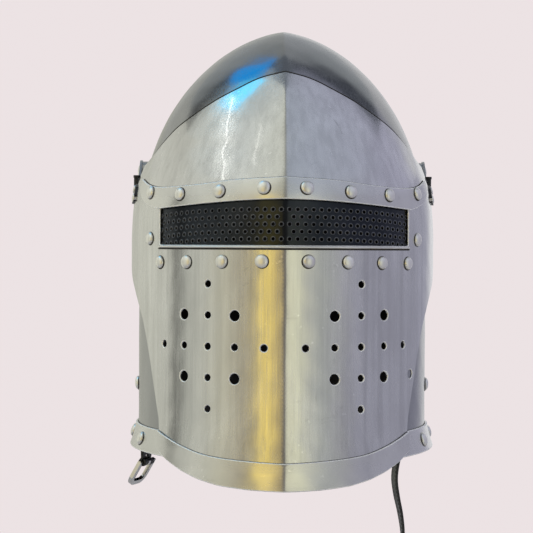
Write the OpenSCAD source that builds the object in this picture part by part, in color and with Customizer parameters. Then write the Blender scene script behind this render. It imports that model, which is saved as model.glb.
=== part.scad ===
// Visored knight helmet: an ogival steel skull with a medial ridge, a wrap-round visor that lifts on
// two temple pivots, a perforated sight, a laced leather liner and a buckled chin strap.
// The front of the helmet faces -Y and the wearer's left side is +X.
// Heights inside the modules are measured from the lower edge of the sight, and seat_frame()
// then lowers every piece so that the origin is where the crown of the head meets the liner.

/* [Skull] */
// Half the outside width of the skull
skull_half_w = 112; // [108:1:116]
// Height of the apex above the sight
apex_h = 167; // [162:1:174]
// How far each half's turning axis lies past the centre plane, which sets the ridge
ridge_shift = 25; // [22:1:28]
// Thickness of the skull and visor plates
plate_t = 2; // [1.6:0.1:2.2]
// Depth of the lower edge of the skull below the sight
skull_drop = 153; // [150:0.5:158]
// Sideways flare of the skull's lower edge
rim_flare = 4.5; // [3:0.5:5]
// Height of the riveted rim band
rim_h = 16.5; // [14:0.5:18]

/* [Visor] */
// Gap between skull and visor at the cheeks
cheek_gap = 4; // [3.5:0.1:4.5]
// Gap between skull and visor at the brow
brow_gap = 0.7; // [0.6:0.1:1]
// Height of the visor's peak above the sight
peak_h = 127; // [124:1:130]
// Height of the sight opening on the centre line
sight_h = 34.5; // [30:0.5:36]
// Half the width of the sight opening
sight_half_w = 92; // [88:1:94]
// Depth of the chin below the sight
chin_drop = 169.5; // [166:0.5:172]
// Spacing of the breath holes
breath_pitch = 22.3; // [20:0.1:23]
// Diameter of the small breath holes
breath_d = 5; // [4:0.5:6]
// Diameter of the large breath holes
breath_big_d = 7.6; // [6:0.2:9]
// Spacing of the holes along a row of the sight screen
screen_pitch = 6; // [5.5:0.1:7]
// Diameter of the holes in the sight screen
screen_hole_d = 3; // [2.6:0.1:3.6]

/* [Hinge] */
// Height of the visor pivot above the sight
pivot_z = 60; // [58:1:62]
// Distance of the visor pivot behind the centre plane
pivot_y = 25; // [24:1:28]
// Diameter of the pivot stud's shank
pivot_d = 6; // [5:0.5:7]
// Diameter of the removable hinge pin
pin_d = 2.4; // [2.2:0.1:2.6]

/* [Liner and straps] */
// Height of the head seat above the sight
seat_h = 130; // [126:1:132]
// Number of liner lobes
lobe_count = 8; // [6:1:8]
// Width of the chin strap
strap_w = 15; // [14:1:16]
// Thickness of the strap leather
strap_t = 2; // [2:0.1:3]

/* [Hidden] */
$fn = 72;
big = 400;
eps = 0.05;
fit = 0.08;            // radial clearance of a turning or sliding pin
shank_fit = 0.05;      // radial clearance of a rivet's shank in its hole
band_t = 2;            // thickness of the rim, brow and chin bands
screen_t = 1.5;
lap = 0.1;             // air between plates that are riveted face to face
head_air = 0.2;        // air under a rivet's flat head on a bent plate

flare_top = -138 + 2;  // height where the skull's wall starts to flare
visor_flare_top = -125;
visor_flare = 3.7;     // flare of the visor 32 mm below visor_flare_top

// Heights at which the turned profiles have a corner
skull_levels = [-skull_drop, -150, -145.5, -141, flare_top, 0, 15, 28, 40, 52, 64, 76, 88, 100, 111, 121,
    130, 138, 145, 151, 156, 160, 163, 165, apex_h * 0.997, apex_h];
visor_levels = [-176, -166, -156, -146, -136, visor_flare_top, 0, 15, 28, 36, 44, 52, 60, 68, 76, 88, 100,
    111, 121, 130, 138];

// ---- shape functions -------------------------------------------------------------------------

function smooth(t) = let (u = min(1, max(0, t))) u * u * (3 - 2 * u);

// Half width of the ogival shape at height z, moved inwards by inset
function ogive_w(z, inset) =
    (skull_half_w - inset) * pow(max(0, 1 - pow(max(z, 0) / (apex_h - inset), 2.3)), 0.6);

function skull_w(z, inset = 0) =
    ogive_w(z, inset) + rim_flare * pow(max(0, flare_top - z) / (skull_drop + flare_top), 1.4);

function visor_gap(z) = cheek_gap + (brow_gap - cheek_gap) * smooth((z - 36) / 40);

// Half width of the visor's inner face, moved outwards by out
function visor_w(z, out = 0) =
    ogive_w(z, -visor_gap(z) - out) + visor_flare * pow(max(0, visor_flare_top - z) / 32, 1.2);

function reversed(list) = [for (i = [len(list) - 1 : -1 : 0]) list[i]];

// Profile of the skull moved inwards by inset; the levels above the sight shrink with it
function skull_profile(inset, levels = skull_levels) = [for (z = levels)
    let (y = z > 0 ? z * (apex_h - inset) / apex_h : z) [skull_w(y, inset) + ridge_shift, y]];

function visor_profile(out, levels = visor_levels) = [for (z = levels) [visor_w(z, out) + ridge_shift, z]];

// ---- building blocks -------------------------------------------------------------------------

// Puts the origin at the head seat
module seat_frame() translate([0, 0, -seat_h]) children();

module both_sides() {
    children();
    mirror([1, 0, 0]) children();
}

module on_side(side) {
    if (side > 0) children();
    else mirror([1, 0, 0]) children();
}

// Two turned halves that meet in a ridge on the centre plane
module ridged(profile)
    both_sides() intersection() {
        translate([-ridge_shift, 0, 0]) rotate_extrude() polygon(profile);
        translate([0, -big / 2, -big / 2]) cube(big);
    }

module skull_layer(outer, inner, levels = skull_levels)
    ridged(concat(skull_profile(outer, levels), reversed(skull_profile(inner, levels))));

module visor_layer(inner, outer, levels = visor_levels)
    ridged(concat(visor_profile(outer, levels), reversed(visor_profile(inner, levels))));

module skull_solid(inset)
    ridged(concat([[0, -skull_drop]], skull_profile(inset), [[0, apex_h - inset]]));

// A prism through the front, from an outline drawn in x and z
module front_prism(points)
    rotate([90, 0, 0]) linear_extrude(big) polygon(points);

// A prism from side to side, from an outline drawn in y and z
module side_prism(points)
    translate([-big / 2, 0, 0]) rotate([90, 0, 90]) linear_extrude(big) polygon(points);

function mirrored_outline(points) = concat(points, reversed([for (p = points) if (p[0] > 0) [-p[0], p[1]]]));

// Places children on the turned surface of half width w(z), +Z outwards
module on_turned(side, turn, z, w, slope)
    on_side(side) translate([-ridge_shift, 0, 0]) rotate([0, 0, turn])
        translate([0, -w - ridge_shift, z]) rotate([90 + atan(slope), 0, 0]) children();

module on_visor(side, turn, z, out)
    on_turned(side, turn, z, visor_w(z, out), (visor_w(z + 1, out) - visor_w(z - 1, out)) / 2)
        children();

module on_skull(side, turn, z, inset = 0)
    on_turned(side, turn, z, skull_w(z, inset), (skull_w(z + 1, inset) - skull_w(z - 1, inset)) / 2)
        children();

// Domed head standing on z = 0
module dome_head(d, h) {
    ball = (d * d / 4 + h * h) / (2 * h);
    intersection() {
        translate([0, 0, h - ball]) sphere(ball);
        cylinder(h = h, d = d);
    }
}

// Rivet with its head on z = 0, a shank through grip and a flattened tail
module rivet(head_d, head_h, shank_d, grip, tail_d = 0) {
    dome_head(head_d, head_h);
    translate([0, 0, -grip - eps]) cylinder(h = grip + 2 * eps, d = shank_d);
    if (tail_d > 0) translate([0, 0, -grip - 1]) cylinder(h = 1, d1 = tail_d * 0.8, d2 = tail_d);
}

module shank_hole(d) cylinder(h = 24, d = d + 2 * shank_fit, center = true);

// ---- skull -----------------------------------------------------------------------------------

// Opening for the face, wide at the eyes and narrower at the chin
face_outline = mirrored_outline([[62, -170], [68, -138], [78, -104], [86, -72], [95, -45], [101, -18],
    [101, 26], [92, 44], [70, 50]]);

module face_opening() front_prism(face_outline);

strap_rivet = [-8, -106.5];     // y and z of the chin strap rivets
rim_turns = [69.5, 92, 115, 138, 162];
rim_rivet_z = -145;
rim_rivet_d = 10.4;
liner_z = 84;
flush_turns = [20, 42];         // liner rivets under the visor
domed_turns = [105, 130, 155];  // liner rivets behind the temples

module at_strap_rivet(side)
    on_side(side) translate([skull_half_w, strap_rivet[0], strap_rivet[1]]) rotate([0, 90, 0]) children();

module at_pivot(side)
    on_side(side) translate([0, pivot_y, pivot_z]) rotate([0, 90, 0]) children();

module skull_shell() {
    color("slategray") seat_frame() difference() {
        skull_layer(0, plate_t);
        face_opening();
        for (side = [-1, 1]) {
            at_strap_rivet(side) shank_hole(4.4);
            at_pivot(side) cylinder(h = skull_half_w + 10, d = pivot_d + 2 * shank_fit);
            for (turn = rim_turns) on_skull(side, turn, rim_rivet_z) shank_hole(4.4);
            for (turn = flush_turns) on_skull(side, turn, liner_z) shank_hole(4);
            for (turn = domed_turns) on_skull(side, turn, liner_z) shank_hole(4);
        }
    }
}

rim_levels = [-skull_drop, -150, -145.5, -141, rim_h - skull_drop];

module rim_band() {
    color("silver") seat_frame() difference() {
        skull_layer(-band_t, -lap, rim_levels);
        face_opening();
        for (side = [-1, 1], turn = rim_turns) on_skull(side, turn, rim_rivet_z) shank_hole(4.4);
    }
}

module rim_rivets() {
    color("gainsboro") seat_frame()
        for (side = [-1, 1], turn = rim_turns)
            on_skull(side, turn, rim_rivet_z) translate([0, 0, band_t + head_air])
                rivet(rim_rivet_d, 3, 4.4, band_t + head_air + plate_t + 0.3, 6.6);
}

// ---- visor -----------------------------------------------------------------------------------

// Front view of the visor's top edge, from the peak to the temple
brow_edge = [[0, peak_h], [18, peak_h - 4.6], [35, peak_h - 12.4], [51, 106.5], [66, 97.4], [80, 87.9],
    [91, 77.5], [98, 70], [105, 63.5], [114, 59.5], [130, 58]];

// Side view of the visor's rear edge, from the hinge to the chin
rear_edge = [[-0.5, 62], [-0.5, 10], [-4, -4], [-12, -14], [-24, -23], [-38, -33], [-50, -44], [-60, -57],
    [-69, -77], [-77, -104], [-85.5, -138], [-90, -157], [-94, -180]];

// Side views of the chin band's edges
band_top = [[-60, -124], [-85, -135.5], [-107, -144], [-122, -148.8], [-150, -152.5]];
chin_edge = [[-60, -146], [-88, -148.4], [-93, -151.3], [-97, -153.8], [-110, -160.2], [-120, -164.5],
    [-130, -167.8], [-140, -chin_drop], [-170, -chin_drop - 2]];

// Front views of the sight and of the band over it
brow_band_top = [[0, 49], [35, 47.2], [60, 44.4], [86, 43], [95, 44], [101, 46.5], [105.5, 50.5]];
brow_band_end = [[107, 43], [104.5, 36], [100, 31.6], [93, 28.6]];
sight_top = [[0, sight_h], [30, sight_h - 1], [60, sight_h - 3.2], [sight_half_w, 28.4]];

breath_centre_turn = 34;
breath_centre_z = -71;
breath_small = [[0, 2], [0, 1], [-2, 0], [-1, 0], [0, 0], [1, 0], [2, 0], [0, -1], [0, -2]];
breath_big = [[-1, 1], [1, 1], [-1, -1], [1, -1]];

screen_rivets = [[16.6, 41.7], [30.4, 39.5], [45, 38], [60.5, 40], [60.3, 6], [16.9, -10], [29.3, -10.4],
    [41.9, -11], [54.2, -11.4]];
leaf_rivets = [[84.5, 44.5], [80, 37.5]];
visor_rivet_d = 9.6;

// Cheek areas that the visor covers, as outlines
module visor_region() intersection() {
    front_prism(mirrored_outline(concat([[0, -220]], [[130, -220]], reversed(brow_edge))));
    side_prism(concat([[-180, 180]], [[-0.5, 180]], rear_edge, [[-180, -180]]));
    side_prism(concat([[-170, 200]], [[-60, 200]], [[60, 200], [60, -146]], chin_edge));
}

module breath_holes(pattern, d) {
    step = breath_pitch / (visor_w(breath_centre_z, plate_t) + ridge_shift) * 180 / PI;
    for (side = [-1, 1], p = pattern)
        on_visor(side, breath_centre_turn + p[0] * step, breath_centre_z + p[1] * breath_pitch, plate_t)
            cylinder(h = 12, d = d, center = true);
}

module sight_cut(grow)
    front_prism(mirrored_outline(concat([[sight_half_w, 0.5]],
        reversed([for (p = sight_top) [p[0], p[1] + grow]]))));

module visor_plate() {
    color("lightgray") seat_frame() difference() {
        intersection() {
            union() {
                visor_layer(0, plate_t);
                // Lower edge of the sight, turned out as a narrow lip
                intersection() {
                    visor_layer(plate_t - 0.2, plate_t + 2.6);
                    translate([-sight_half_w - 1, -big / 2, -1.7]) cube([2 * sight_half_w + 2, big / 2, 2.2]);
                }
            }
            visor_region();
        }
        sight_cut(1);
        breath_holes(breath_small, breath_d);
        breath_holes(breath_big, breath_big_d);
        on_visor(1, 56, -93, plate_t) cylinder(h = 12, d = 6.4, center = true);
        for (side = [-1, 1]) {
            for (p = screen_rivets) on_visor(side, p[0], p[1], plate_t) shank_hole(4);
            for (p = leaf_rivets) on_visor(side, p[0], p[1], plate_t) shank_hole(3);
        }
    }
}

module brow_band() {
    color("silver") seat_frame() difference() {
        intersection() {
            visor_layer(plate_t + lap, plate_t + band_t);
            front_prism(mirrored_outline(
                concat(sight_top, reversed(brow_band_end), reversed(brow_band_top))));
        }
        for (side = [-1, 1], i = [0 : 3])
            on_visor(side, screen_rivets[i][0], screen_rivets[i][1], plate_t) shank_hole(4);
    }
}

module chin_band() {
    color("silver") seat_frame() intersection() {
        visor_layer(plate_t + lap, plate_t + band_t);
        visor_region();
        side_prism(concat([[-150, -200], [-60, -200]], band_top));
    }
}

screen_out = -lap - screen_t;

module sight_screen() {
    color("dimgray") seat_frame() difference() {
        intersection() {
            visor_layer(screen_out, -lap, [-20, 0, 15, 28, 36, 44, 51]);
            front_prism(mirrored_outline([[97, -17], [102, -10], [104, 20], [103, 46], [60, 48], [0, 49]]));
        }
        for (side = [-1, 1]) {
            for (p = screen_rivets) on_visor(side, p[0], p[1], plate_t) shank_hole(4);
            for (row = [0 : 4], column = [0 : 18])
                screen_hole(side, row, (column + (row % 2 == 0 ? 0.5 : 1)) * screen_pitch);
        }
    }
}

// One hole at a distance from the ridge along the sheet; the rows droop towards the temples
module screen_hole(side, row, arc) {
    radius = visor_w(15, 0) + ridge_shift;
    turn = asin(ridge_shift / radius) + arc / radius * 180 / PI;
    z = 5.7 + row * screen_pitch * 0.866 - 4.1 * pow(arc / 110, 2.4);
    if (arc < screen_pitch * 18.7)
        on_visor(side, turn, z, 0) cylinder(h = 12, d = screen_hole_d, center = true);
}

module sight_rivets() {
    color("gainsboro") seat_frame()
        for (side = [-1, 1], i = [0 : len(screen_rivets) - 1]) {
            rise = (i < 4 ? band_t : 0) + head_air;
            on_visor(side, screen_rivets[i][0], screen_rivets[i][1], plate_t) translate([0, 0, rise])
                rivet(visor_rivet_d, 3, 4, rise + plate_t + lap + screen_t + 0.3, 5.6);
        }
}

// ---- hinge -----------------------------------------------------------------------------------

barrel = [115, 4];           // x and y of the hinge barrel's axis
barrel_r = 2.3;
barrel_z = [28, 36, 46, 54]; // the visor's knuckle lies between the arm's two
knuckle_gap = 0.25;
arm_x = 111.9;               // inner face of the pivot arm
arm_t = 1.8;
pin_head_d = 5.4;
leaf_t = 1.6;
leaf_outline = [[2.6, 36.4], [-3, 36.4], [-14, 33], [-23, 35], [-27, 40.5], [-23, 46], [-14, 48.5],
    [-3, 45.6], [2.6, 45.6]];

module knuckle(low, high)
    translate([barrel[0], barrel[1], low]) cylinder(h = high - low, r = barrel_r);

module pin_bore()
    translate([barrel[0], barrel[1], 0]) cylinder(h = 100, d = pin_d + 2 * fit);

module hinge_leaf(side) {
    low = barrel_z[1] + knuckle_gap;
    high = barrel_z[2] - knuckle_gap;
    color("dimgray") seat_frame() on_side(side) difference() {
        union() {
            intersection() {
                visor_layer(plate_t + lap, plate_t + leaf_t);
                side_prism(leaf_outline);
                translate([0, -60, 0]) cube([big, 70, big]);
            }
            knuckle(low, high);
        }
        pin_bore();
        for (p = leaf_rivets) on_visor(1, p[0], p[1], plate_t) shank_hole(3);
    }
}

module pivot_arm(side) {
    color("gray") seat_frame() on_side(side) difference() {
        union() {
            translate([arm_x, 0, 0]) rotate([90, 0, 90]) linear_extrude(arm_t) difference() {
                hull() {
                    translate([pivot_y, pivot_z]) circle(9);
                    translate([barrel[1], barrel_z[0]]) square([7, barrel_z[3] - barrel_z[0]]);
                }
                translate([-10, barrel_z[1]]) square([20, barrel_z[2] - barrel_z[1]]);
            }
            knuckle(barrel_z[0], barrel_z[1]);
            knuckle(barrel_z[2], barrel_z[3]);
        }
        pin_bore();
        translate([barrel[0], barrel[1], barrel_z[3]]) cylinder(h = 30, d = pin_head_d + 0.8);
        translate([0, pivot_y, pivot_z]) rotate([0, 90, 0]) cylinder(h = 200, d = pivot_d + 2 * fit);
    }
}

module hinge_pin(side) {
    color("black") seat_frame() on_side(side) translate([barrel[0], barrel[1], 0]) {
        translate([0, 0, barrel_z[3] + 0.1]) cylinder(h = 1.9, d = pin_head_d);
        translate([0, 0, barrel_z[0] - 3]) cylinder(h = barrel_z[3] - barrel_z[0] + 3.2, d = pin_d);
        translate([0, 0, barrel_z[0] - 5]) cylinder(h = 2.01, d1 = pin_d * 0.4, d2 = pin_d);
    }
}

module pivot_spacer(side) {
    color("silver") seat_frame() on_side(side) difference() {
        translate([96, pivot_y, pivot_z]) rotate([0, 90, 0]) cylinder(h = arm_x - 0.1 - 96, r = 8);
        skull_solid(-0.02, $fn = 180);
        at_pivot(1) cylinder(h = 200, d = pivot_d + 2 * shank_fit);
    }
}

inner_x = 95.5;              // face of the inner packing that the nut is drawn up against

module pivot_packing(side) {
    color("saddlebrown") seat_frame() on_side(side) difference() {
        intersection() {
            translate([inner_x, pivot_y, pivot_z]) rotate([0, 90, 0]) cylinder(h = 20, r = 8);
            skull_solid(plate_t + 0.02, $fn = 180);
        }
        at_pivot(1) cylinder(h = 200, d = pivot_d + 2 * shank_fit);
    }
}

nut_h = 5;

module pivot_stud(side) {
    color("gainsboro") seat_frame() at_pivot(side) {
        translate([0, 0, arm_x + arm_t + 0.1]) dome_head(12, 2);
        translate([0, 0, inner_x - nut_h - 2])
            cylinder(h = arm_x + arm_t + 0.2 - inner_x + nut_h + 2, d = pivot_d);
    }
}

module pivot_nut(side) {
    color("silver") seat_frame() at_pivot(side) translate([0, 0, inner_x - nut_h - 0.05]) difference() {
        cylinder(h = nut_h, d = 11.5, $fn = 6);
        translate([0, 0, -1]) cylinder(h = nut_h + 2, d = pivot_d + 2 * shank_fit, $fn = 48);
    }
}

module leaf_rivet_pair(side) {
    color("gainsboro") seat_frame()
        for (p = leaf_rivets)
            on_visor(side, p[0], p[1], plate_t) translate([0, 0, leaf_t + head_air])
                rivet(6.4, 1.2, 3, leaf_t + head_air + plate_t + 0.3, 4.4);
}

// ---- liner -----------------------------------------------------------------------------------

liner_levels = [74, 79, 84, 89, 94];
liner_band_t = 2.4;
liner_inset = plate_t + 0.3 + liner_band_t;
lobe_t = 3;
lobe_gap = 5;                // sideways gap between two lobes
lace_r = 26;                 // radius of the drawn lace ring
lace_d = 3.2;
tunnel_d = 7;

module liner_band() {
    color("saddlebrown") seat_frame() difference() {
        skull_layer(plate_t + 0.3, liner_inset, liner_levels);
        for (side = [-1, 1], turn = concat(flush_turns, domed_turns))
            on_skull(side, turn, liner_z) shank_hole(4);
    }
}

// The rivets hold the band and the lobes' roots against the skull
module liner_rivets() {
    grip = plate_t + liner_band_t + lobe_t + 0.9;
    color("silver") seat_frame()
        for (side = [-1, 1]) {
            for (turn = domed_turns)
                on_skull(side, turn, liner_z) translate([0, 0, head_air])
                    rivet(8, 2, 4, grip + head_air, 6);
            for (turn = flush_turns)
                on_skull(side, turn, liner_z) {
                    translate([0, 0, -grip - eps]) cylinder(h = grip - 0.25, d = 4);
                    translate([0, 0, -grip - 1]) cylinder(h = 1, d1 = 5, d2 = 6);
                }
        }
}

// Outer face of a lobe in section, from its root against the band up to the flat crown
lobe_profile = concat([for (z = [78, 83, 88, 93]) let (y = z * (apex_h - liner_inset - 0.1) / apex_h)
    [skull_w(y, liner_inset + 0.1), y]],
    [[83.5, seat_h - 30], [74, seat_h - 20.5], [61, seat_h - 11], [48, seat_h - 4], [34, seat_h + 0.6],
    [18, seat_h + lobe_t], [4, seat_h + lobe_t]]);

// The same line moved inwards, square to itself
function inner_line(points, t) = [for (i = [0 : len(points) - 1])
    let (d = points[min(i + 1, len(points) - 1)] - points[max(i - 1, 0)])
    points[i] + t * [-d[1], d[0]] / norm(d)];

function past_axis(points) = [for (p = points) [p[0] + ridge_shift, p[1]]];

// One leather lobe: its root lies against the band, and its tip is folded round the lace
module liner_lobe(index) {
    color("saddlebrown") seat_frame() difference() {
        intersection() {
            union() {
                ridged(past_axis(concat(lobe_profile, reversed(inner_line(lobe_profile, lobe_t)))));
                lace_ring(tunnel_d);
            }
            rotate([0, 0, (index + 0.5) * 360 / lobe_count]) lobe_wedge();
        }
        lace_ring(lace_d + 0.2);
        cylinder(h = big, r = lace_r - tunnel_d / 2 + 0.5);
        for (side = [-1, 1], turn = concat(flush_turns, domed_turns))
            on_skull(side, turn, liner_z) shank_hole(4);
    }
}

// Sector of one lobe, with half the gap taken off each side
module lobe_wedge() {
    half = 180 / lobe_count;
    edge = 200 * tan(half) - lobe_gap / 2 / cos(half);
    linear_extrude(big) polygon([[lobe_gap / 2 / sin(half), 0], [200, -edge], [200, edge]]);
}

module lace_ring(d)
    translate([0, 0, seat_h + tunnel_d / 2]) rotate_extrude() translate([lace_r, 0]) circle(d = d, $fn = 32);

module crown_lace() {
    color("black") seat_frame() lace_ring(lace_d);
}

// ---- chin strap ------------------------------------------------------------------------------

strap_x = skull_half_w - plate_t - 1.7;  // outer face of both leathers at their rivets

module strap_rivet_set() {
    color("gainsboro") seat_frame()
        for (side = [-1, 1]) at_strap_rivet(side) {
            translate([0, 0, 0.1]) dome_head(10.4, 3);
            translate([0, 0, -9]) cylinder(h = 9.2, d = 4.4);
            translate([0, 0, strap_x - strap_t - skull_half_w - 1.6]) cylinder(h = 1.5, d = 9);
        }
}

module leather_hole()
    at_strap_rivet(1) cylinder(h = 30, d = 4.4 + 2 * fit, center = true);

// Centre line of the hanging strap, each point [x, y, z, twist in degrees]
strap_route = [[107.3, -8, -96, 0], [107.3, -8, -106, 0], [107.2, -8, -118, 0], [104.3, -8.5, -130, 2],
    [99.3, -9, -143, 4], [94, -10, -155, 6], [90.2, -11, -167, 8], [88.5, -12, -180, 9],
    [90, -12.5, -193, 9], [92.7, -13, -206, 7], [94.6, -13, -219, 3], [95.2, -13, -232, -3],
    [95, -12.5, -245, -7], [94.3, -12, -258, -8], [94, -11.5, -271, -6], [94, -11, -284, -2],
    [94.5, -10.5, -297, 0], [94.8, -10.2, -308, 0], [95, -10, -316, 0], [95.1, -10, -321, 0]];

// Half width of the strap at each point of the route: round at the top and pointed at the end
function strap_half(i) = strap_w / 2 * (i == 0 ? 0.75 : i == len(strap_route) - 1 ? 0.25
    : i == len(strap_route) - 2 ? 0.7 : i == len(strap_route) - 3 ? 0.95 : 1);

function strap_ring(i) =
    let (p = strap_route[i], h = strap_half(i), t = strap_t / 2, c = cos(p[3]), s = sin(p[3]))
    [for (q = [[-t, -h + 0.8], [-t, h - 0.8], [-t + 0.6, h], [t - 0.6, h], [t, h - 0.8], [t, -h + 0.8],
        [t - 0.6, -h], [-t + 0.6, -h]])
        [p[0] + q[0] * c - q[1] * s, p[1] + q[0] * s + q[1] * c, p[2]]];

// Skin over a list of equal rings, closed at both ends
module loft(rings) {
    n = len(rings[0]);
    last = (len(rings) - 1) * n;
    polyhedron([for (r = rings) each r], concat(
        [[for (k = [0 : n - 1]) k]],
        [for (i = [0 : len(rings) - 2], k = [0 : n - 1])
            each [[i * n + k, (i + 1) * n + k, (i + 1) * n + (k + 1) % n],
                [i * n + k, (i + 1) * n + (k + 1) % n, i * n + (k + 1) % n]]],
        [[for (k = [n - 1 : -1 : 0]) last + k]]));
}

strap_holes = [9, 10, 11, 12, 13, 14];  // route points that carry a buckle hole

module chin_strap() {
    color("black") seat_frame() difference() {
        loft([for (i = [0 : len(strap_route) - 1]) strap_ring(i)]);
        leather_hole();
        for (i = strap_holes)
            let (p = strap_route[i])
            translate([p[0], p[1], p[2]]) rotate([0, 90, p[3]]) cylinder(h = 12, d = 3.2, center = true);
    }
}

// The buckle hangs on the wearer's right, swung out and turned a little to the front
buckle_at = [-105.2, -12, -167.5];
buckle_yaw = -24;
buckle_tilt = 31;
bar_d = 2.6;
frame_w = 25;
frame_l = 22;
frame_wall = 3.6;
frame_t = 2.8;

module at_buckle() translate(buckle_at) rotate([0, 0, buckle_yaw]) children();

module hanging() at_buckle() rotate([0, buckle_tilt, 0]) children();

// Centre line of the short leather that carries the buckle, down to its fold
tab_route = [[-107.3, -8, -96, 0], [-107.3, -8, -106, 0], [-107.2, -8, -118, 0], [-106.5, -8.6, -130, -5],
    [-105.9, -9.6, -142, -12], [-105.5, -10.8, -154, -20], [-105.2, -12, -164.9, -24]];

function tab_ring(i) =
    let (p = tab_route[i], c = cos(p[3]), s = sin(p[3]))
    let (h = strap_w / 2 * (i == 0 ? 0.75 : 1), t = strap_t / 2)
    [for (q = [[-t, -h], [-t, h], [t, h], [t, -h]])
        [p[0] + q[0] * c - q[1] * s, p[1] + q[0] * s + q[1] * c, p[2]]];

module buckle_tab() {
    color("black") seat_frame() difference() {
        union() {
            loft([for (i = [0 : len(tab_route) - 1]) tab_ring(i)]);
            at_buckle() rotate([90, 0, 0]) cylinder(h = strap_w, r = bar_d / 2 + fit + 2, center = true);
        }
        at_buckle() rotate([90, 0, 0]) cylinder(h = strap_w + 10, r = bar_d / 2 + fit, center = true);
        at_buckle() translate([0, 0, -1]) cube([14, 5, 12], center = true);
        mirror([1, 0, 0]) leather_hole();
    }
}

// Outline of the frame in its own plane: x along the bar, y down from it to the rounded end
module frame_outline(grow)
    hull() {
        translate([-frame_w / 2 - grow, -1 - grow]) square([frame_w + 2 * grow, 8]);
        for (a = [-1, 1]) translate([a * (frame_w / 2 - 8), frame_l - 9]) circle(8 + grow);
    }

module buckle_frame() {
    color("lightgray") seat_frame() hanging() {
        rotate([-90, 0, 90]) difference() {
            linear_extrude(frame_t, center = true) frame_outline(0);
            linear_extrude(5, center = true) frame_outline(-frame_wall);
            translate([-strap_w / 2 - 0.6, -6, -5]) cube([strap_w + 1.2, 10.2, 10]);
        }
        rotate([90, 0, 0]) cylinder(h = frame_w - 1.5, d = bar_d, center = true);
    }
}

module buckle_prong() {
    color("lightgray") seat_frame() hanging() difference() {
        union() {
            rotate([90, 0, 0]) cylinder(h = 3.4, r = bar_d / 2 + 1.7, center = true);
            translate([-2.6, 0, -frame_l + 3.4]) cylinder(h = frame_l - 4, d = 2.2);
        }
        rotate([90, 0, 0]) cylinder(h = 8, r = bar_d / 2 + fit, center = true);
    }
}

// ---- nodes -----------------------------------------------------------------------------------

skull_shell();
rim_band();
rim_rivets();
strap_rivet_set();  // strap_rivets
visor_plate();
brow_band();
chin_band();
sight_screen();
sight_rivets();
hinge_leaf(-1);  // hinge_leaf_right
hinge_leaf(1);  // hinge_leaf_left
leaf_rivet_pair(-1);  // leaf_rivets_right
leaf_rivet_pair(1);  // leaf_rivets_left
pivot_arm(-1);  // pivot_arm_right
pivot_arm(1);  // pivot_arm_left
hinge_pin(-1);  // hinge_pin_right
hinge_pin(1);  // hinge_pin_left
pivot_spacer(-1);  // pivot_spacer_right
pivot_spacer(1);  // pivot_spacer_left
pivot_packing(-1);  // pivot_packing_right
pivot_packing(1);  // pivot_packing_left
pivot_stud(-1);  // pivot_stud_right
pivot_stud(1);  // pivot_stud_left
pivot_nut(-1);  // pivot_nut_right
pivot_nut(1);  // pivot_nut_left
liner_band();
liner_rivets();
for (i = [1 : lobe_count]) liner_lobe(i);
crown_lace();
chin_strap();
buckle_tab();
buckle_frame();
buckle_prong();
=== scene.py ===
"""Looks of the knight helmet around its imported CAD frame.

Lengths in this script are millimetres and heights are measured from the lower edge of the sight,
as in the CAD source. make_object() turns them into the frame's metres, whose origin is at the head seat.
"""
import math

import bmesh
import bpy
import numpy as np
from mathutils import Matrix, Vector
from mathutils.geometry import delaunay_2d_cdt


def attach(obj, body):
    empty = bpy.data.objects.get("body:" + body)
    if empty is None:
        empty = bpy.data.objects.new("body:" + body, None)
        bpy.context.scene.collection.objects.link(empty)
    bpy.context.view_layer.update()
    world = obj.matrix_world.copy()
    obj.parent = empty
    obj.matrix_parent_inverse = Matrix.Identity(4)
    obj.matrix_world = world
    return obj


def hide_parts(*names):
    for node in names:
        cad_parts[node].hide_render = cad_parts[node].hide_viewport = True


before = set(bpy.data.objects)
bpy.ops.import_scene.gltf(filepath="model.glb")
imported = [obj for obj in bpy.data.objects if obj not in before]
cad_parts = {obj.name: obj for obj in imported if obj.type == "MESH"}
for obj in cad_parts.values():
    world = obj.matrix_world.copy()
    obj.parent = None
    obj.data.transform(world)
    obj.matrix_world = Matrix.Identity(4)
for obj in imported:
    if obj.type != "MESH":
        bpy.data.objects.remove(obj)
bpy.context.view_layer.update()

rng = np.random.default_rng(11)

# ---- driving dimensions, as in the CAD source --------------------------------------------------

SEAT = 130.0
SKULL_W, APEX, SHIFT, PLATE, BAND = 112.0, 167.0, 25.0, 2.0, 2.0
SKULL_DROP, RIM_FLARE, RIM_H, FLARE_TOP = 153.0, 4.5, 16.5, -136.0
CHEEK_GAP, BROW_GAP = 4.0, 0.7
VISOR_FLARE_TOP, VISOR_FLARE = -125.0, 3.7
PEAK, SIGHT_H, SIGHT_W = 127.0, 34.5, 92.0
SCREEN_T, LAP = 1.5, 0.1
LINER_IN = PLATE + 0.3 + 2.4
LOBES, LACE_R = 8, 26.0
STRAP_W, STRAP_T = 15.0, 2.0

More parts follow.
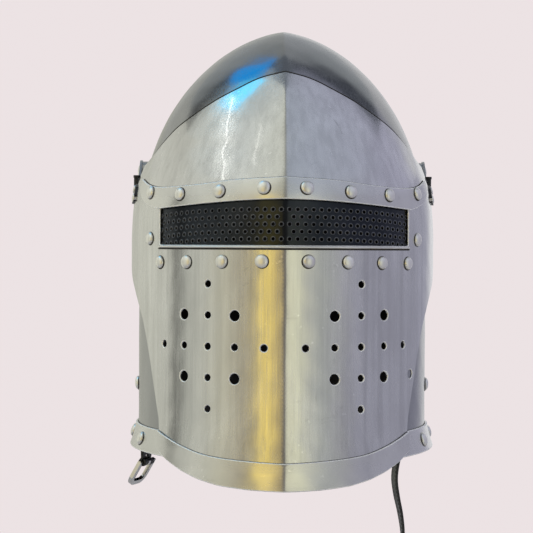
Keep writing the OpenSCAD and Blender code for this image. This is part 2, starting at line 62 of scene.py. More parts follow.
BROW_EDGE = [(0, PEAK), (18, PEAK - 4.6), (35, PEAK - 12.4), (51, 106.5), (66, 97.4), (80, 87.9), (91, 77.5),
             (98, 70), (105, 63.5), (108, 62)]
REAR_EDGE = [(-0.5, 62), (-0.5, 10), (-4, -4), (-12, -14), (-24, -23), (-38, -33), (-50, -44), (-60, -57),
             (-69, -77), (-77, -104), (-85, -135.5), (-88, -148.4)]
BAND_TOP = [(-85, -135.5), (-107, -144), (-122, -148.8), (-150, -152.5)]
CHIN_EDGE = [(-88, -148.4), (-93, -151.3), (-97, -153.8), (-110, -160.2), (-120, -164.5), (-130, -167.8),
             (-140, -169.5), (-170, -171.5)]
BROW_BAND_TOP = [(0, 49), (35, 47.2), (60, 44.4), (86, 43), (95, 44), (101, 46.5), (105.5, 50.5)]
BROW_BAND_END = [(107, 43), (104.5, 36), (100, 31.6), (93, 28.6)]
SIGHT_TOP = [(0, SIGHT_H), (30, SIGHT_H - 1), (60, SIGHT_H - 3.2), (SIGHT_W, 28.4)]
FACE_EDGE = [(0, 50), (70, 50), (92, 44), (101, 26), (101, -18), (95, -45), (86, -72), (78, -104), (68, -138),
             (62, -153)]
SCREEN_EDGE = [(0, 49), (60, 48), (103, 46), (104, 20), (102, -10), (97, -17), (0, -17)]
SCREEN_RIVETS = [(16.6, 41.7), (30.4, 39.5), (45, 38), (60.5, 40), (60.3, 6), (16.9, -10), (29.3, -10.4),
                 (41.9, -11), (54.2, -11.4)]
LEAF_RIVETS = [(84.5, 44.5), (80, 37.5)]
RIM_TURNS, RIM_RIVET_Z = [69.5, 92, 115, 138, 162], -145
LINER_TURNS = [105, 130, 155]
BREATH_TURN, BREATH_Z, BREATH_PITCH = 34, -71, 22.3
BREATH_SMALL = [(0, 2), (0, 1), (-2, 0), (-1, 0), (0, 0), (1, 0), (2, 0), (0, -1), (0, -2)]
BREATH_BIG = [(-1, 1), (1, 1), (-1, -1), (1, -1)]
STRAP_RIVET = (-8, -106.5)

STRAP_ROUTE = [
    (107.3, -8, -96, 0), (107.3, -8, -106, 0), (107.2, -8, -118, 0), (104.3, -8.5, -130, 2),
    (99.3, -9, -143, 4), (94, -10, -155, 6), (90.2, -11, -167, 8), (88.5, -12, -180, 9),
    (90, -12.5, -193, 9), (92.7, -13, -206, 7), (94.6, -13, -219, 3), (95.2, -13, -232, -3),
    (95, -12.5, -245, -7), (94.3, -12, -258, -8), (94, -11.5, -271, -6), (94, -11, -284, -2),
    (94.5, -10.5, -297, 0), (94.8, -10.2, -308, 0), (95, -10, -316, 0), (95.1, -10, -321, 0)]
TAB_ROUTE = [
    (-107.3, -8, -96, 0), (-107.3, -8, -106, 0), (-107.2, -8, -118, 0), (-106.5, -8.6, -130, -5),
    (-105.9, -9.6, -142, -12), (-105.5, -10.8, -154, -20), (-105.2, -12, -164.9, -24)]
BUCKLE_AT, BUCKLE_YAW, BAR_D = (-105.2, -12, -167.5), -24, 2.6


# ---- shape functions ---------------------------------------------------------------------------

def ease(t):
    u = np.clip(t, 0, 1)
    return u * u * (3 - 2 * u)


def ogive(z, inset):
    """Half width of the ogival shape at height z, moved inwards by inset."""
    return (SKULL_W - inset) * np.maximum(0, 1 - (np.maximum(z, 0) / (APEX - inset)) ** 2.3) ** 0.6


def skull_width(z, out=0.0):
    return ogive(z, -out) + RIM_FLARE * (np.maximum(0, FLARE_TOP - z) / (SKULL_DROP + FLARE_TOP)) ** 1.4


def visor_width(z, out=0.0):
    gap = CHEEK_GAP + (BROW_GAP - CHEEK_GAP) * ease((z - 36) / 40)
    return ogive(z, -gap - out) + VISOR_FLARE * (np.maximum(0, VISOR_FLARE_TOP - z) / 32) ** 1.2


def ripple(p):
    """Slow hammer waves of the sheet, in mm, the same for a plate and the band on it."""
    x, y, z = p[..., 0], p[..., 1], p[..., 2]
    return (0.055 * np.sin(x / 7.3 + 1.3 * np.sin(z / 17)) * np.sin(z / 9.1 + y / 11)
            + 0.05 * np.sin(x / 4.9 - z / 6.3 + 2) * np.sin(y / 6.1 + z / 13)
            + 0.03 * np.sin(z / 3.7 + x / 5.2 + y / 4.4))


class Wall:
    """A ridged turned wall. A point is (q, v): q is the arc from the front crease, + to the wearer's
    left, measured on the wall `base` mm out; v is a height, or for the skull an arc up its profile."""

    def __init__(self, width, base, crease, profile=False):
        self.width, self.base, self.crease = width, base, crease
        self.levels = None
        if profile:
            z = np.concatenate([np.linspace(-SKULL_DROP, 150, 900), APEX - np.geomspace(17, 1e-4, 300)])
            w = width(z, base)
            self.levels = z, np.concatenate([[0], np.cumsum(np.hypot(np.diff(w), np.diff(z)))])

    def height(self, v):
        return v if self.levels is None else np.interp(v, self.levels[1], self.levels[0])

    def arc_up(self, z):
        return z if self.levels is None else np.interp(z, self.levels[0], self.levels[1])

    def span(self, v):
        """Arc from the front crease to the rear crease at v."""
        r = self.width(self.height(v), self.base) + SHIFT
        return r * (math.pi - 2 * np.arcsin(np.minimum(1, SHIFT / r)))

    def turn_to_q(self, turn, z, out=None):
        """q of a turning angle in degrees, as the CAD source places its rivets and holes."""
        r = self.width(z, self.base if out is None else out) + SHIFT
        t0 = np.arcsin(np.minimum(1, SHIFT / r))
        return self.span(self.arc_up(z)) * (np.radians(turn) - t0) / (math.pi - 2 * t0)

    def front(self, x, z):
        r = self.width(z, self.base) + SHIFT
        return self.turn_to_q(np.degrees(np.arcsin(np.clip((x + SHIFT) / r, -1, 1))), z)

    def side(self, y, z):
        r = self.width(z, self.base) + SHIFT
        return self.turn_to_q(np.degrees(np.arccos(np.clip(-y / r, -1, np.sqrt(1 - (SHIFT / r) ** 2)))), z)

    def place(self, q, v, out):
        z = self.height(v)
        share = np.clip(np.abs(q) / np.maximum(self.span(v), 1e-6), 0, 1)
        r = self.width(z, out) + SHIFT
        t0 = np.arcsin(np.minimum(1, SHIFT / r))
        t = t0 + share * (math.pi - 2 * t0)
        x, y = r * np.sin(t) - SHIFT, -r * np.cos(t)
        soft = np.minimum(np.tan(t0), 0.6) * (np.sqrt(x * x + self.crease ** 2) - x)
        y = y + soft * np.where(y < 0, 1, -1)
        lean = -(self.width(z + 0.5, out) - self.width(z - 0.5, out))
        side = np.where(q < 0, -1.0, 1.0)
        away = np.stack([side * np.sin(t), -np.cos(t), lean], -1)
        away /= np.linalg.norm(away, axis=-1, keepdims=True)
        p = np.stack([side * x, y, z], -1)
        return p + away * ripple(p)[..., None]

    def at(self, q, v, out=None):
        """Points and outward normals."""
        q, v = np.asarray(q, float), np.asarray(v, float)
        out = self.base if out is None else out
        h = 0.3
        dq = self.place(q + h, v, out) - self.place(q - h, v, out)
        dv = self.place(q, v + h, out) - self.place(q, v - h, out)
        n = np.cross(dq, dv)
        size = np.linalg.norm(n, axis=-1, keepdims=True)
        n = np.where(size > 1e-7, n / np.maximum(size, 1e-12), [0, 0, 1])
        return self.place(q, v, out), n


visor_wall = Wall(visor_width, PLATE, 0.7)
skull_wall = Wall(skull_width, 0.0, 2.2, profile=True)


# ---- curves and meshes -------------------------------------------------------------------------

def curve(points, step=2.0, smooth=True):
    """Points along a smooth line through the given ones, about step apart."""
    p = np.array(points, float)
    if not smooth or len(p) < 3:
        fine = [p[i] + (p[i + 1] - p[i]) * s for i in range(len(p) - 1) for s in np.linspace(0, 1, 24)]
    else:
        ends = np.vstack([2 * p[0] - p[1], p, 2 * p[-1] - p[-2]])
        fine = []
        for i in range(1, len(ends) - 2):
            a, b, c, d = ends[i - 1:i + 3]
            near, far = np.linalg.norm(c - a), np.linalg.norm(d - b)
            size = np.linalg.norm(c - b)
            m0, m1 = (c - a) / near * size, (d - b) / far * size
            for s in np.linspace(0, 1, 24):
                fine.append((2 * s ** 3 - 3 * s * s + 1) * b + (s ** 3 - 2 * s * s + s) * m0
                            + (3 * s * s - 2 * s ** 3) * c + (s ** 3 - s * s) * m1)
    fine = np.array(fine)
    run = np.concatenate([[0], np.cumsum(np.linalg.norm(np.diff(fine, axis=0), axis=1))])
    count = max(2, int(run[-1] / step) + 1)
    at = np.linspace(0, run[-1], count)
    return np.stack([np.interp(at, run, fine[:, k]) for k in range(p.shape[1])], -1)


def join(*parts):
    """One half outline from pieces that follow each other, without doubled points."""
    out = [parts[0][0]]
    for part in parts:
        out += [p for p in part if np.linalg.norm(p - out[-1]) > 0.4]
    return np.array(out)


def mirrored(half):
    """A whole ring from a half outline that starts and ends on the crease."""
    back = [(-q, z) for q, z in half[::-1] if q > 1e-6]
    return np.array([*map(tuple, half), *back])


def circle(q, z, radius, count=28):
    a = np.arange(count) * 2 * math.pi / count
    return np.stack([q + radius * np.cos(a), z + radius * np.sin(a)], -1)


def inside(points, ring):
    low, high = ring.min(0), ring.max(0)
    found = np.all((points >= low) & (points <= high), axis=1)
    p = points[found]
    odd = np.zeros(len(p), bool)
    for a, b in zip(ring, np.roll(ring, -1, 0)):
        if a[1] != b[1]:
            cross = (a[1] > p[:, 1]) != (b[1] > p[:, 1])
            odd ^= cross & (p[:, 0] < (b[0] - a[0]) * (p[:, 1] - a[1]) / (b[1] - a[1]) + a[0])
    found[found] = odd
    return found


def triangulate(outer, holes, step, rows=()):
    """Triangles of a flat outline with holes, over a grid; rows are extra q lines."""
    rings = [np.asarray(outer)] + [np.asarray(h) for h in holes]
    low, high = rings[0].min(0), rings[0].max(0)
    half = np.arange(step, max(abs(low[0]), abs(high[0])) + step, step)
    lines = np.unique(np.concatenate([-half, half, [0.0], *[[-r, r] for r in rows]]))
    grid = np.array([(q, v + (step / 2 if i % 2 else 0)) for i, q in enumerate(lines)
                     for v in np.arange(low[1], high[1], step)])
    grid = grid[inside(grid, rings[0])]
    border = np.concatenate(rings)
    near = np.concatenate([np.min(np.linalg.norm(part[:, None] - border[None], axis=2), axis=1)
                           for part in np.array_split(grid, max(1, len(grid) // 800))])
    grid = grid[near > 0.55 * step]
    for ring in rings[1:]:
        grid = grid[~inside(grid, ring)]
    verts, edges = [], []
    for ring in rings:
        start, count = len(verts), len(ring)
        verts += [Vector(p) for p in ring]
        edges += [(start + i, start + (i + 1) % count) for i in range(count)]
    found = delaunay_2d_cdt(verts + [Vector(p) for p in grid], edges, [], 0, 1e-5)
    flat = np.array([v[:] for v in found[0]])
    tris = np.array([f[:] for f in found[2]])
    a, b, c = flat[tris[:, 0]], flat[tris[:, 1]], flat[tris[:, 2]]
    area = (b[:, 0] - a[:, 0]) * (c[:, 1] - a[:, 1]) - (b[:, 1] - a[:, 1]) * (c[:, 0] - a[:, 0])
    tris[area < 0] = tris[area < 0][:, ::-1]
    middle = (a + b + c) / 3
    keep = inside(middle, rings[0]) & (np.abs(area) > 1e-7)
    for ring in rings[1:]:
        keep &= ~inside(middle, ring)
    return flat, tris[keep]


def make_object(name, verts, faces, normals=None, uvs=None, sharp=None):
    mesh = bpy.data.meshes.new(name)
    verts = (np.asarray(verts, float) - [0, 0, SEAT]) * 0.001
    mesh.from_pydata(verts.tolist(), [], [tuple(map(int, f)) for f in faces])
    mesh.polygons.foreach_set("use_smooth", [True] * len(mesh.polygons))
    if uvs is not None:
        corner = np.empty(len(mesh.loops), int)
        mesh.loops.foreach_get("vertex_index", corner)
        layer = mesh.uv_layers.new(name="sheet")
        layer.data.foreach_set("uv", (np.asarray(uvs)[corner] * 0.01).ravel())
    mesh.validate()
    if normals is not None:
        mesh.normals_split_custom_set_from_vertices([tuple(n) for n in normals])
    if sharp is not None:
        mesh.set_sharp_from_angle(angle=math.radians(sharp))
    obj = bpy.data.objects.new(name, mesh)
    bpy.context.collection.objects.link(obj)
    return obj


def thicken(points, normals, tris, uvs, thickness, bevel):
    """A closed plate from its outer face, with softened edges and its own shading normals."""
    n = len(points)
    edges = np.concatenate([tris[:, [0, 1]], tris[:, [1, 2]], tris[:, [2, 0]]])
    rim_edges = edges[~np.isin(edges[:, 0] * n + edges[:, 1], edges[:, 1] * n + edges[:, 0])]
    away = np.zeros((n, 3))
    along = points[rim_edges[:, 1]] - points[rim_edges[:, 0]]
    along /= np.maximum(np.linalg.norm(along, axis=1, keepdims=True), 1e-9)
    for k in (0, 1):
        np.add.at(away, rim_edges[:, k], np.cross(along, normals[rim_edges[:, k]]))
    rim = np.unique(rim_edges)
    away[rim] /= np.maximum(np.linalg.norm(away[rim], axis=1, keepdims=True), 1e-9)
    spot = np.full(n, -1)
    spot[rim] = np.arange(len(rim))
    verts = np.concatenate([points, points - thickness * normals,
                            points[rim] + bevel * away[rim] - bevel * normals[rim],
                            points[rim] + bevel * away[rim] - (thickness - bevel) * normals[rim]])
    shade = np.concatenate([normals, -normals, away[rim], away[rim]])
    i, j = rim_edges[:, 0], rim_edges[:, 1]
    top_i, top_j = 2 * n + spot[i], 2 * n + spot[j]
    low_i, low_j = top_i + len(rim), top_j + len(rim)
    quads = np.concatenate([np.stack([j, i, top_i, top_j], -1), np.stack([top_j, top_i, low_i, low_j], -1),
                            np.stack([low_j, low_i, n + i, n + j], -1)])
    faces = tris.tolist() + (tris[:, ::-1] + n).tolist() + quads.tolist()
    flat = np.concatenate([uvs, uvs, uvs[rim], uvs[rim]])
    return verts, faces, shade, flat


def welded(points, normals, flat, tris):
    """The same sheet with points that coincide made one, and their normals averaged."""
    _, first, same = np.unique(np.round(points, 3), axis=0, return_index=True, return_inverse=True)
    same = same.ravel()
    summed = np.zeros((len(first), 3))
    np.add.at(summed, same, normals)
    normals = summed / np.maximum(np.linalg.norm(summed, axis=1, keepdims=True), 1e-9)
    tris = same[tris]
    tris = tris[(tris[:, 0] != tris[:, 1]) & (tris[:, 1] != tris[:, 2]) & (tris[:, 2] != tris[:, 0])]
    return points[first], normals, flat[first], tris


def both_sides(wall, ring, step, out, thickness, bevel):
    """A closed strip from the outline of its left half, and how many triangles its outer face has."""
    flat, tris = triangulate(ring, [], step)
    points, normals = wall.at(flat[:, 0], flat[:, 1], out)
    flip = [-1, 1, 1]
    points, normals, flat, tris = welded(
        np.concatenate([points, points * flip]), np.concatenate([normals, normals * flip]),
        np.concatenate([flat, flat * flip[:2]]), np.concatenate([tris, tris[:, ::-1] + len(flat)]))
    return *thicken(points, normals, tris, flat, thickness, bevel), len(tris)


def plate(name, wall, outline, holes=(), out=None, thickness=PLATE, bevel=0.35, step=3.0, rows=(),
          weld=False):
    """A bent metal sheet cut to an outline drawn on a wall."""
    flat, tris = triangulate(outline, holes, step, rows)
    points, normals = wall.at(flat[:, 0], flat[:, 1], out)
    if weld:
        points, normals, flat, tris = welded(points, normals, flat, tris)
    verts, faces, shade, uvs = thicken(points, normals, tris, flat, thickness, bevel)
    return make_plate(name, verts, faces, shade, uvs, len(tris))


skins = {}      # how many triangles each plate has on its outer face, and again on its inner face


def make_plate(name, verts, faces, shade, uvs, skin):
    skins[name] = skin
    return make_object(name, verts, faces, shade, uvs)


def sweep(name, centres, sides, ups, section, closed=False, sharp=40):
    """A solid swept along frames; section is a ring of (side, up) offsets, or one ring per centre."""
    section = np.asarray(section, float)
    if section.ndim == 2:
        section = np.repeat(section[None], len(centres), 0)
    count, ring = section.shape[:2]
    verts = (centres[:, None] + section[..., :1] * sides[:, None] + section[..., 1:] * ups[:, None])
    faces = []
    for i in range(count if closed else count - 1):
        a, b = i * ring, (i + 1) % count * ring
        faces += [(a + k, a + (k + 1) % ring, b + (k + 1) % ring, b + k) for k in range(ring)]
    if not closed:
        faces += [tuple(range(ring - 1, -1, -1)), tuple(range((count - 1) * ring, count * ring))]
    obj = make_object(name, verts.reshape(-1, 3), faces, sharp=sharp)
    fix_winding(obj)
    return obj


def fix_winding(obj):
    """Turns every face of a closed mesh outwards."""
    work = bmesh.new()
    work.from_mesh(obj.data)
    bmesh.ops.recalc_face_normals(work, faces=work.faces)
    work.to_mesh(obj.data)
    work.free()


def bead(name, wall, line, out, radius, closed=True):
    """A thin round bead along a line of (q, v) on a wall, such as the dark line of painted shade beside an
    edge.
    """
    centres, normals = wall.at(line[:, 0], line[:, 1], out)
    ahead = np.roll(centres, -1, 0) - np.roll(centres, 1, 0) if closed else np.gradient(centres, axis=0)
    ahead /= np.linalg.norm(ahead, axis=1, keepdims=True)
    sides = np.cross(ahead, normals)
    ring = [(radius * math.cos(a), radius * math.sin(a)) for a in np.arange(6) * math.pi / 3]
    return sweep(name, centres, sides, normals, ring, closed, sharp=80)


# ---- materials ---------------------------------------------------------------------------------

class Shader:
    """Short-hand for building one node material."""

    def __init__(self, name):
        self.material = bpy.data.materials.new(name)
        self.material.use_nodes = True
        self.tree = self.material.node_tree
        self.bsdf = self.tree.nodes["Principled BSDF"]

    def set(self, **values):
        for key, value in values.items():
            self.bsdf.inputs[key.replace("_", " ")].default_value = value

    def link(self, a, b):
        self.tree.links.new(a, b)

    def coords(self, scale=(1, 1, 1), rotation=(0, 0, 0), kind="Object"):
        source = self.tree.nodes.new("ShaderNodeTexCoord")
        mapping = self.tree.nodes.new("ShaderNodeMapping")
        mapping.inputs["Scale"].default_value = scale
        mapping.inputs["Rotation"].default_value = [math.radians(a) for a in rotation]
        self.link(source.outputs[kind], mapping.inputs["Vector"])
        return mapping.outputs["Vector"]

    def noise(self, vector, scale, detail=3.0, roughness=0.55, distortion=0.0):
        node = self.tree.nodes.new("ShaderNodeTexNoise")
        for key, value in (("Scale", scale), ("Detail", detail), ("Roughness", roughness),
                           ("Distortion", distortion)):
            node.inputs[key].default_value = value
        self.link(vector, node.inputs["Vector"])
        return node.outputs["Fac"]

    def ramp(self, value, low, high, to_low=0.0, to_high=1.0):
        node = self.tree.nodes.new("ShaderNodeMapRange")
        for key, number in (("From Min", low), ("From Max", high), ("To Min", to_low), ("To Max", to_high)):
            node.inputs[key].default_value = number
        self.link(value, node.inputs["Value"])
        return node.outputs["Result"]

    def mix(self, factor, a, b):
        node = self.tree.nodes.new("ShaderNodeMix")
        node.data_type = "RGBA"
        self.link(factor, node.inputs["Factor"])
        for value, socket in ((a, node.inputs[6]), (b, node.inputs[7])):
            if isinstance(value, tuple):
                socket.default_value = (*value, 1)
            else:
                self.link(value, socket)
        return node.outputs[2]

    def math(self, operation, a, b):
        node = self.tree.nodes.new("ShaderNodeMath")
        node.operation = operation
        for value, socket in ((a, node.inputs[0]), (b, node.inputs[1])):
            if isinstance(value, (int, float)):
                socket.default_value = value
            else:
                self.link(value, socket)
        return node.outputs[0]

    def bump(self, height, distance, strength=1.0, after=None):
        node = self.tree.nodes.new("ShaderNodeBump")
        node.inputs["Strength"].default_value = strength
        node.inputs["Distance"].default_value = distance
        self.link(height, node.inputs["Height"])
        if after is not None:
            self.link(after, node.inputs["Normal"])
        return node.outputs["Normal"]

    def finish(self, color=None, roughness=None, normal=None):
        for value, key in ((color, "Base Color"), (roughness, "Roughness"), (normal, "Normal")):
            if value is not None:
                self.link(value, self.bsdf.inputs[key])
        return self.material


def steel(name, light, dark, rough, brush=(1, 1, 1), streak=0.3, kind="Object", scale=1.0, stain=0.5,
          gloss=0.0):
    """Satin steel: fine brushed streaks, cloudy tone, a few scratches and stains."""
    s = Shader(name)
    s.set(Metallic=1.0, Coat_Weight=gloss, Coat_Roughness=0.075, Coat_IOR=1.9)
    fine = s.noise(s.coords(tuple(900 * b for b in brush), kind=kind), scale, 4, 0.6)
    broad = s.noise(s.coords(tuple(160 * b for b in brush), kind=kind), scale, 4, 0.6)
    cloud = s.noise(s.coords((22, 22, 14)), 1, 4, 0.6, 0.6)
    spots = s.noise(s.coords((60, 60, 60)), 1, 6, 0.7, 1.0)
    scratch = s.math("MULTIPLY", s.ramp(s.noise(s.coords((60, 900, 300), (20, 35, 50)), 1, 2), 0.66, 0.72),
                     s.ramp(s.noise(s.coords((30, 30, 30)), 1, 2), 0.5, 0.62))
    tone = s.mix(s.ramp(cloud, 0.3, 0.7), dark, light)
    stained = s.mix(s.ramp(spots, 0.63, 0.78, 0, stain), tone, tuple(0.62 * c for c in dark))
    brushed = s.mix(s.ramp(broad, 0.42, 0.62, 0, streak), stained, tuple(0.8 * c for c in dark))
    color = s.mix(s.ramp(scratch, 0.1, 0.9, 0, 0.5), brushed, tuple(min(1, 1.25 * c) for c in light))
    roughness = s.math("ADD", s.ramp(fine, 0.3, 0.7, rough - 0.05, rough + 0.06),
                       s.ramp(cloud, 0.35, 0.65, -0.03, 0.04))
    normal = s.bump(fine, 0.000025, 0.8, s.bump(broad, 0.00006, 0.6, s.bump(spots, 0.0001, 0.25)))
    return s.finish(color, roughness, normal)


def plain(name, light, dark, rough, metallic=0.0, grain=900.0, bump=0.00005, sheen=0.0, coat=0.0):
    """Painted, leather or cord finish: mottled colour, grain and a rubbed tone."""
    s = Shader(name)
    s.set(Metallic=metallic, Sheen_Weight=sheen, Coat_Weight=coat)
    grains = s.noise(s.coords((grain, grain, grain)), 1, 5, 0.65)
    cloud = s.noise(s.coords((35, 35, 35)), 1, 4, 0.6, 0.5)
    color = s.mix(s.ramp(cloud, 0.3, 0.7), dark, light)
    color = s.mix(s.ramp(grains, 0.45, 0.75, 0, 0.5), color, tuple(0.55 * c for c in dark))
    roughness = s.ramp(cloud, 0.3, 0.7, rough - 0.07, rough + 0.07)
    return s.finish(color, roughness, s.bump(grains, bump, 0.7))


def leather(name, light, dark, rough, crack=0.5):
    """Leather: pebbled pores, creases and rubbed high spots."""
    s = Shader(name)
    cell = s.tree.nodes.new("ShaderNodeTexVoronoi")
    cell.feature = "DISTANCE_TO_EDGE"
    cell.inputs["Scale"].default_value = 900
    s.link(s.coords(), cell.inputs["Vector"])
    pores = s.ramp(cell.outputs["Distance"], 0.0, 0.25)
    cloud = s.noise(s.coords((60, 60, 30)), 1, 5, 0.6, 0.8)
    crease = s.ramp(s.noise(s.coords((40, 40, 420)), 1, 3, 0.6, 1.0), 0.55, 0.75)
    color = s.mix(s.ramp(cloud, 0.3, 0.7), dark, light)
    color = s.mix(s.math("MULTIPLY", crease, crack), color, tuple(0.5 * c for c in dark))
    roughness = s.ramp(cloud, 0.3, 0.7, rough - 0.08, rough + 0.1)
    normal = s.bump(pores, 0.00012, 0.6, s.bump(crease, 0.0002, 0.5))
    return s.finish(color, roughness, normal)


UP = (1, 1, 0.03)            # streaks that run up the plate
AROUND = (0.03, 1, 1)        # streaks that run along a band, in its own flat coordinates
visor_steel = steel("visor_steel", (0.64, 0.64, 0.625), (0.48, 0.48, 0.465), 0.235, UP, 0.48, stain=0.75,
                    gloss=0.9)
# the skull's steel is much darker than the visor's: painted shade for the dark room that the dome mirrors
skull_steel = steel("skull_steel", (0.31, 0.315, 0.32), (0.24, 0.245, 0.25), 0.21, (1, 1, 0.1), 0.1,
                    stain=0.2, gloss=0.3)
band_steel = steel("band_steel", (0.68, 0.675, 0.65), (0.52, 0.52, 0.50), 0.26, AROUND, 0.25, "UV", 0.01,
                   gloss=0.7)
rivet_steel = steel("rivet_steel", (0.90, 0.89, 0.84), (0.70, 0.69, 0.65), 0.40, (1, 1, 1), 0.15)
# near-white steel on the plates' outer rounded edges: a painted highlight along every edge
edge_highlight_steel = steel("edge_highlight_steel", (0.97, 0.97, 0.96), (0.90, 0.90, 0.88), 0.65, (1, 1, 1), 0.1)
# near-black steel on the inner faces of skull and visor: painted shade inside the shell, seen through the
# sight and holes
inner_shade_steel = steel("inner_shade_steel", (0.05, 0.047, 0.043), (0.025, 0.024, 0.022), 0.55, (1, 1, 1), 0.4)
arm_steel = steel("arm_steel", (0.5, 0.5, 0.49), (0.4, 0.4, 0.39), 0.3, (1, 1, 1), 0.3)
hinge_steel = steel("hinge_steel", (0.07, 0.07, 0.072), (0.04, 0.04, 0.042), 0.38, (1, 1, 1), 0.4)
nut_steel = steel("nut_steel", (0.5, 0.49, 0.47), (0.4, 0.39, 0.37), 0.35, (1, 1, 1), 0.2)
nickel = steel("buckle_nickel", (0.78, 0.76, 0.72), (0.62, 0.6, 0.57), 0.14, (1, 1, 1), 0.1, stain=0.8)
pin_black = plain("pin_black", (0.012, 0.012, 0.013), (0.006, 0.006, 0.007), 0.6)
screen_black = steel("screen_black", (0.036, 0.041, 0.049), (0.020, 0.023, 0.029), 0.2, (1, 1, 1), 0.2)
burr_black = steel("burr_black", (0.15, 0.155, 0.17), (0.08, 0.085, 0.095), 0.25, (1, 1, 1), 0.2)
# painted shade: dark lines and rings beside band edges, the sight lip and rivet heads, partly grime; also the
# colour of the strap's dark stitches
painted_shade_and_stitch = plain("painted_shade_and_stitch", (0.05, 0.045, 0.04), (0.025, 0.022, 0.02), 0.8)
liner_leather = leather("liner_leather", (0.30, 0.17, 0.085), (0.18, 0.10, 0.05), 0.62)
strap_leather = leather("strap_leather", (0.02, 0.02, 0.021), (0.008, 0.008, 0.009), 0.42, 0.7)
lace_cord = plain("lace_cord", (0.13, 0.10, 0.075), (0.07, 0.055, 0.04), 0.75, 0, 1500, 0.0002, 0.3)
thread = plain("thread", (0.55, 0.47, 0.34), (0.36, 0.3, 0.21), 0.8, 0, 2000, 0.0001, 0.3)


def dress(obj, material, body, replaces=(), inner=None):
    """Material, body and the CAD nodes that a piece stands for."""
    obj.data.materials.clear()
    obj.data.materials.append(material)
    if inner is not None:
        obj.data.materials.append(inner)
        obj.data.materials.append(edge_highlight_steel)
        skin, total = skins[obj.name], len(obj.data.polygons)
        for face in range(skin, 2 * skin):
            obj.data.polygons[face].material_index = 1
        # the outer rounded edge strip takes the near-white steel, a painted highlight
        for face in range(2 * skin, 2 * skin + (total - 2 * skin) // 3):
            obj.data.polygons[face].material_index = 2
    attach(obj, body)
    if replaces:
        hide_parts(*replaces)
    return obj


# ---- skull and rim band ------------------------------------------------------------------------

def on(wall, points, front=True):
    """Domain points of an outline drawn in the front (x, z) or side (y, z) view."""
    p = np.asarray(points, float)
    q = wall.front(p[:, 0], p[:, 1]) if front else wall.side(p[:, 0], p[:, 1])
    return np.stack([q, wall.arc_up(p[:, 1])], -1)


def skull():
    wall = skull_wall
    top = wall.arc_up(APEX)
    rise = np.concatenate([np.arange(0, top - 12, 3.0), top - np.geomspace(12, 0.05, 16), [top]])
    right = np.stack([wall.span(rise), rise], -1)
    right[-1, 0] = 0
    left = right[-2::-1] * [-1, 1]
    foot_q = wall.front(62, -SKULL_DROP)
    face = on(wall, np.concatenate([curve(FACE_EDGE[:3], 2.5, False)[:-1],
                                    curve(FACE_EDGE[2:], 2.5)]))
    foot = np.stack([np.arange(foot_q + 3, right[0, 0] - 1, 3.0)] * 2, -1) * [1, 0]
    half = np.concatenate([face, foot])
    ring = np.concatenate([half, right, left, foot[::-1] * [-1, 1], face[:0:-1] * [-1, 1]])
    shell = plate("skull_plate", wall, ring, step=3.4, rows=(0.8, 2.0), weld=True)
    # the inner face is near-black, painted shade inside the skull
    return dress(shell, skull_steel, "helm", ["skull_shell"], inner_shade_steel)


def rim():
    wall = skull_wall
    low, high = 0.0, wall.arc_up(RIM_H - SKULL_DROP)
    foot_q, head_q = wall.front(62, -SKULL_DROP), wall.front(66.6, RIM_H - SKULL_DROP)
    rear_low, rear_high = wall.span(low), wall.span(high)
    up = np.linspace(low, high, 7)
    right = np.stack([np.linspace(rear_low, rear_high, 7), up], -1)
    bottom = np.stack([np.arange(foot_q, rear_low - 1, 2.5)] * 2, -1) * [1, 0] + [0, low]
    crest = np.stack([np.arange(head_q, rear_high - 1, 2.5)] * 2, -1) * [1, 0] + [0, high]
    front_end = np.stack([np.linspace(head_q, foot_q, 7), up[::-1]], -1)[1:-1]
    ring = np.concatenate([bottom, right, crest[::-1], front_end])
    band = make_plate("rim_strip", *both_sides(wall, ring, 2.5, BAND, BAND - LAP, 0.7))
    dress(band, band_steel, "helm", ["rim_band"], band_steel)
    # a dark bead along the band's upper edge on the skull: painted shade of the joint, partly grime
    line = np.stack([np.linspace(head_q, rear_high, 90), np.full(90, high + 0.35)], -1)
    for side in (1, -1):
        edge = bead(f"rim_shade_line_{'left' if side > 0 else 'right'}", wall, line * [side, 1], 0.05, 0.3, False)
        dress(edge, painted_shade_and_stitch, "helm")


# ---- rivets ------------------------------------------------------------------------------------

def tangents(normal):
    """The level direction and the upward one in the plane across a normal."""
    side = np.cross([0, 0, 1.0], normal)
    side /= np.linalg.norm(side)
    return side, np.cross(normal, side)


def lathe_rings(profile, segments, wobble):
    """Rings of a turned rivet about its own axis, a little out of round."""
    a = np.arange(segments) * 2 * math.pi / segments
    phase, rock = rng.uniform(0, 6.3, 3), rng.uniform(-0.03, 0.03, 2)
    rings = []
    for r, h in profile:
        rr = r * (1 + wobble * np.sin(2 * a + phase[0]) + 0.5 * wobble * np.sin(3 * a + phase[1]))
        x, y = rr * np.cos(a), rr * np.sin(a)
        lift = (rock[0] * x + rock[1] * y) * (h > 0.5)
        rings.append(np.stack([x, y, h + lift], -1))
    return rings


def rivets(name, places, profile, body, node, material=None, wobble=0.02, segments=26, shade=40):
    """One object of turned rivets. places: (point, normal) pairs."""
    verts, faces = [], []
    for point, normal in places:
        normal = normal / np.linalg.norm(normal)
        side, up = tangents(normal)
        base = len(verts)
        size = rng.uniform(0.97, 1.03)
        for ring in lathe_rings(profile, segments, wobble):
            ring = ring * [size, size, 1]
            verts += list(point + ring[:, :1] * side + ring[:, 1:2] * up + ring[:, 2:] * normal)
        rows = len(profile)
        for i in range(rows - 1):
            for k in range(segments):
                m = (k + 1) % segments
                a, b = base + i * segments, base + (i + 1) * segments
                faces.append((a + k, b + k, b + m, a + m))
        faces.append(tuple(base + k for k in range(segments)))
        last = base + (rows - 1) * segments
        faces.append(tuple(last + k for k in range(segments - 1, -1, -1)))
    obj = make_object(name, verts, faces, sharp=shade)
    fix_winding(obj)
    return dress(obj, material or rivet_steel, body, [node] if node else ())


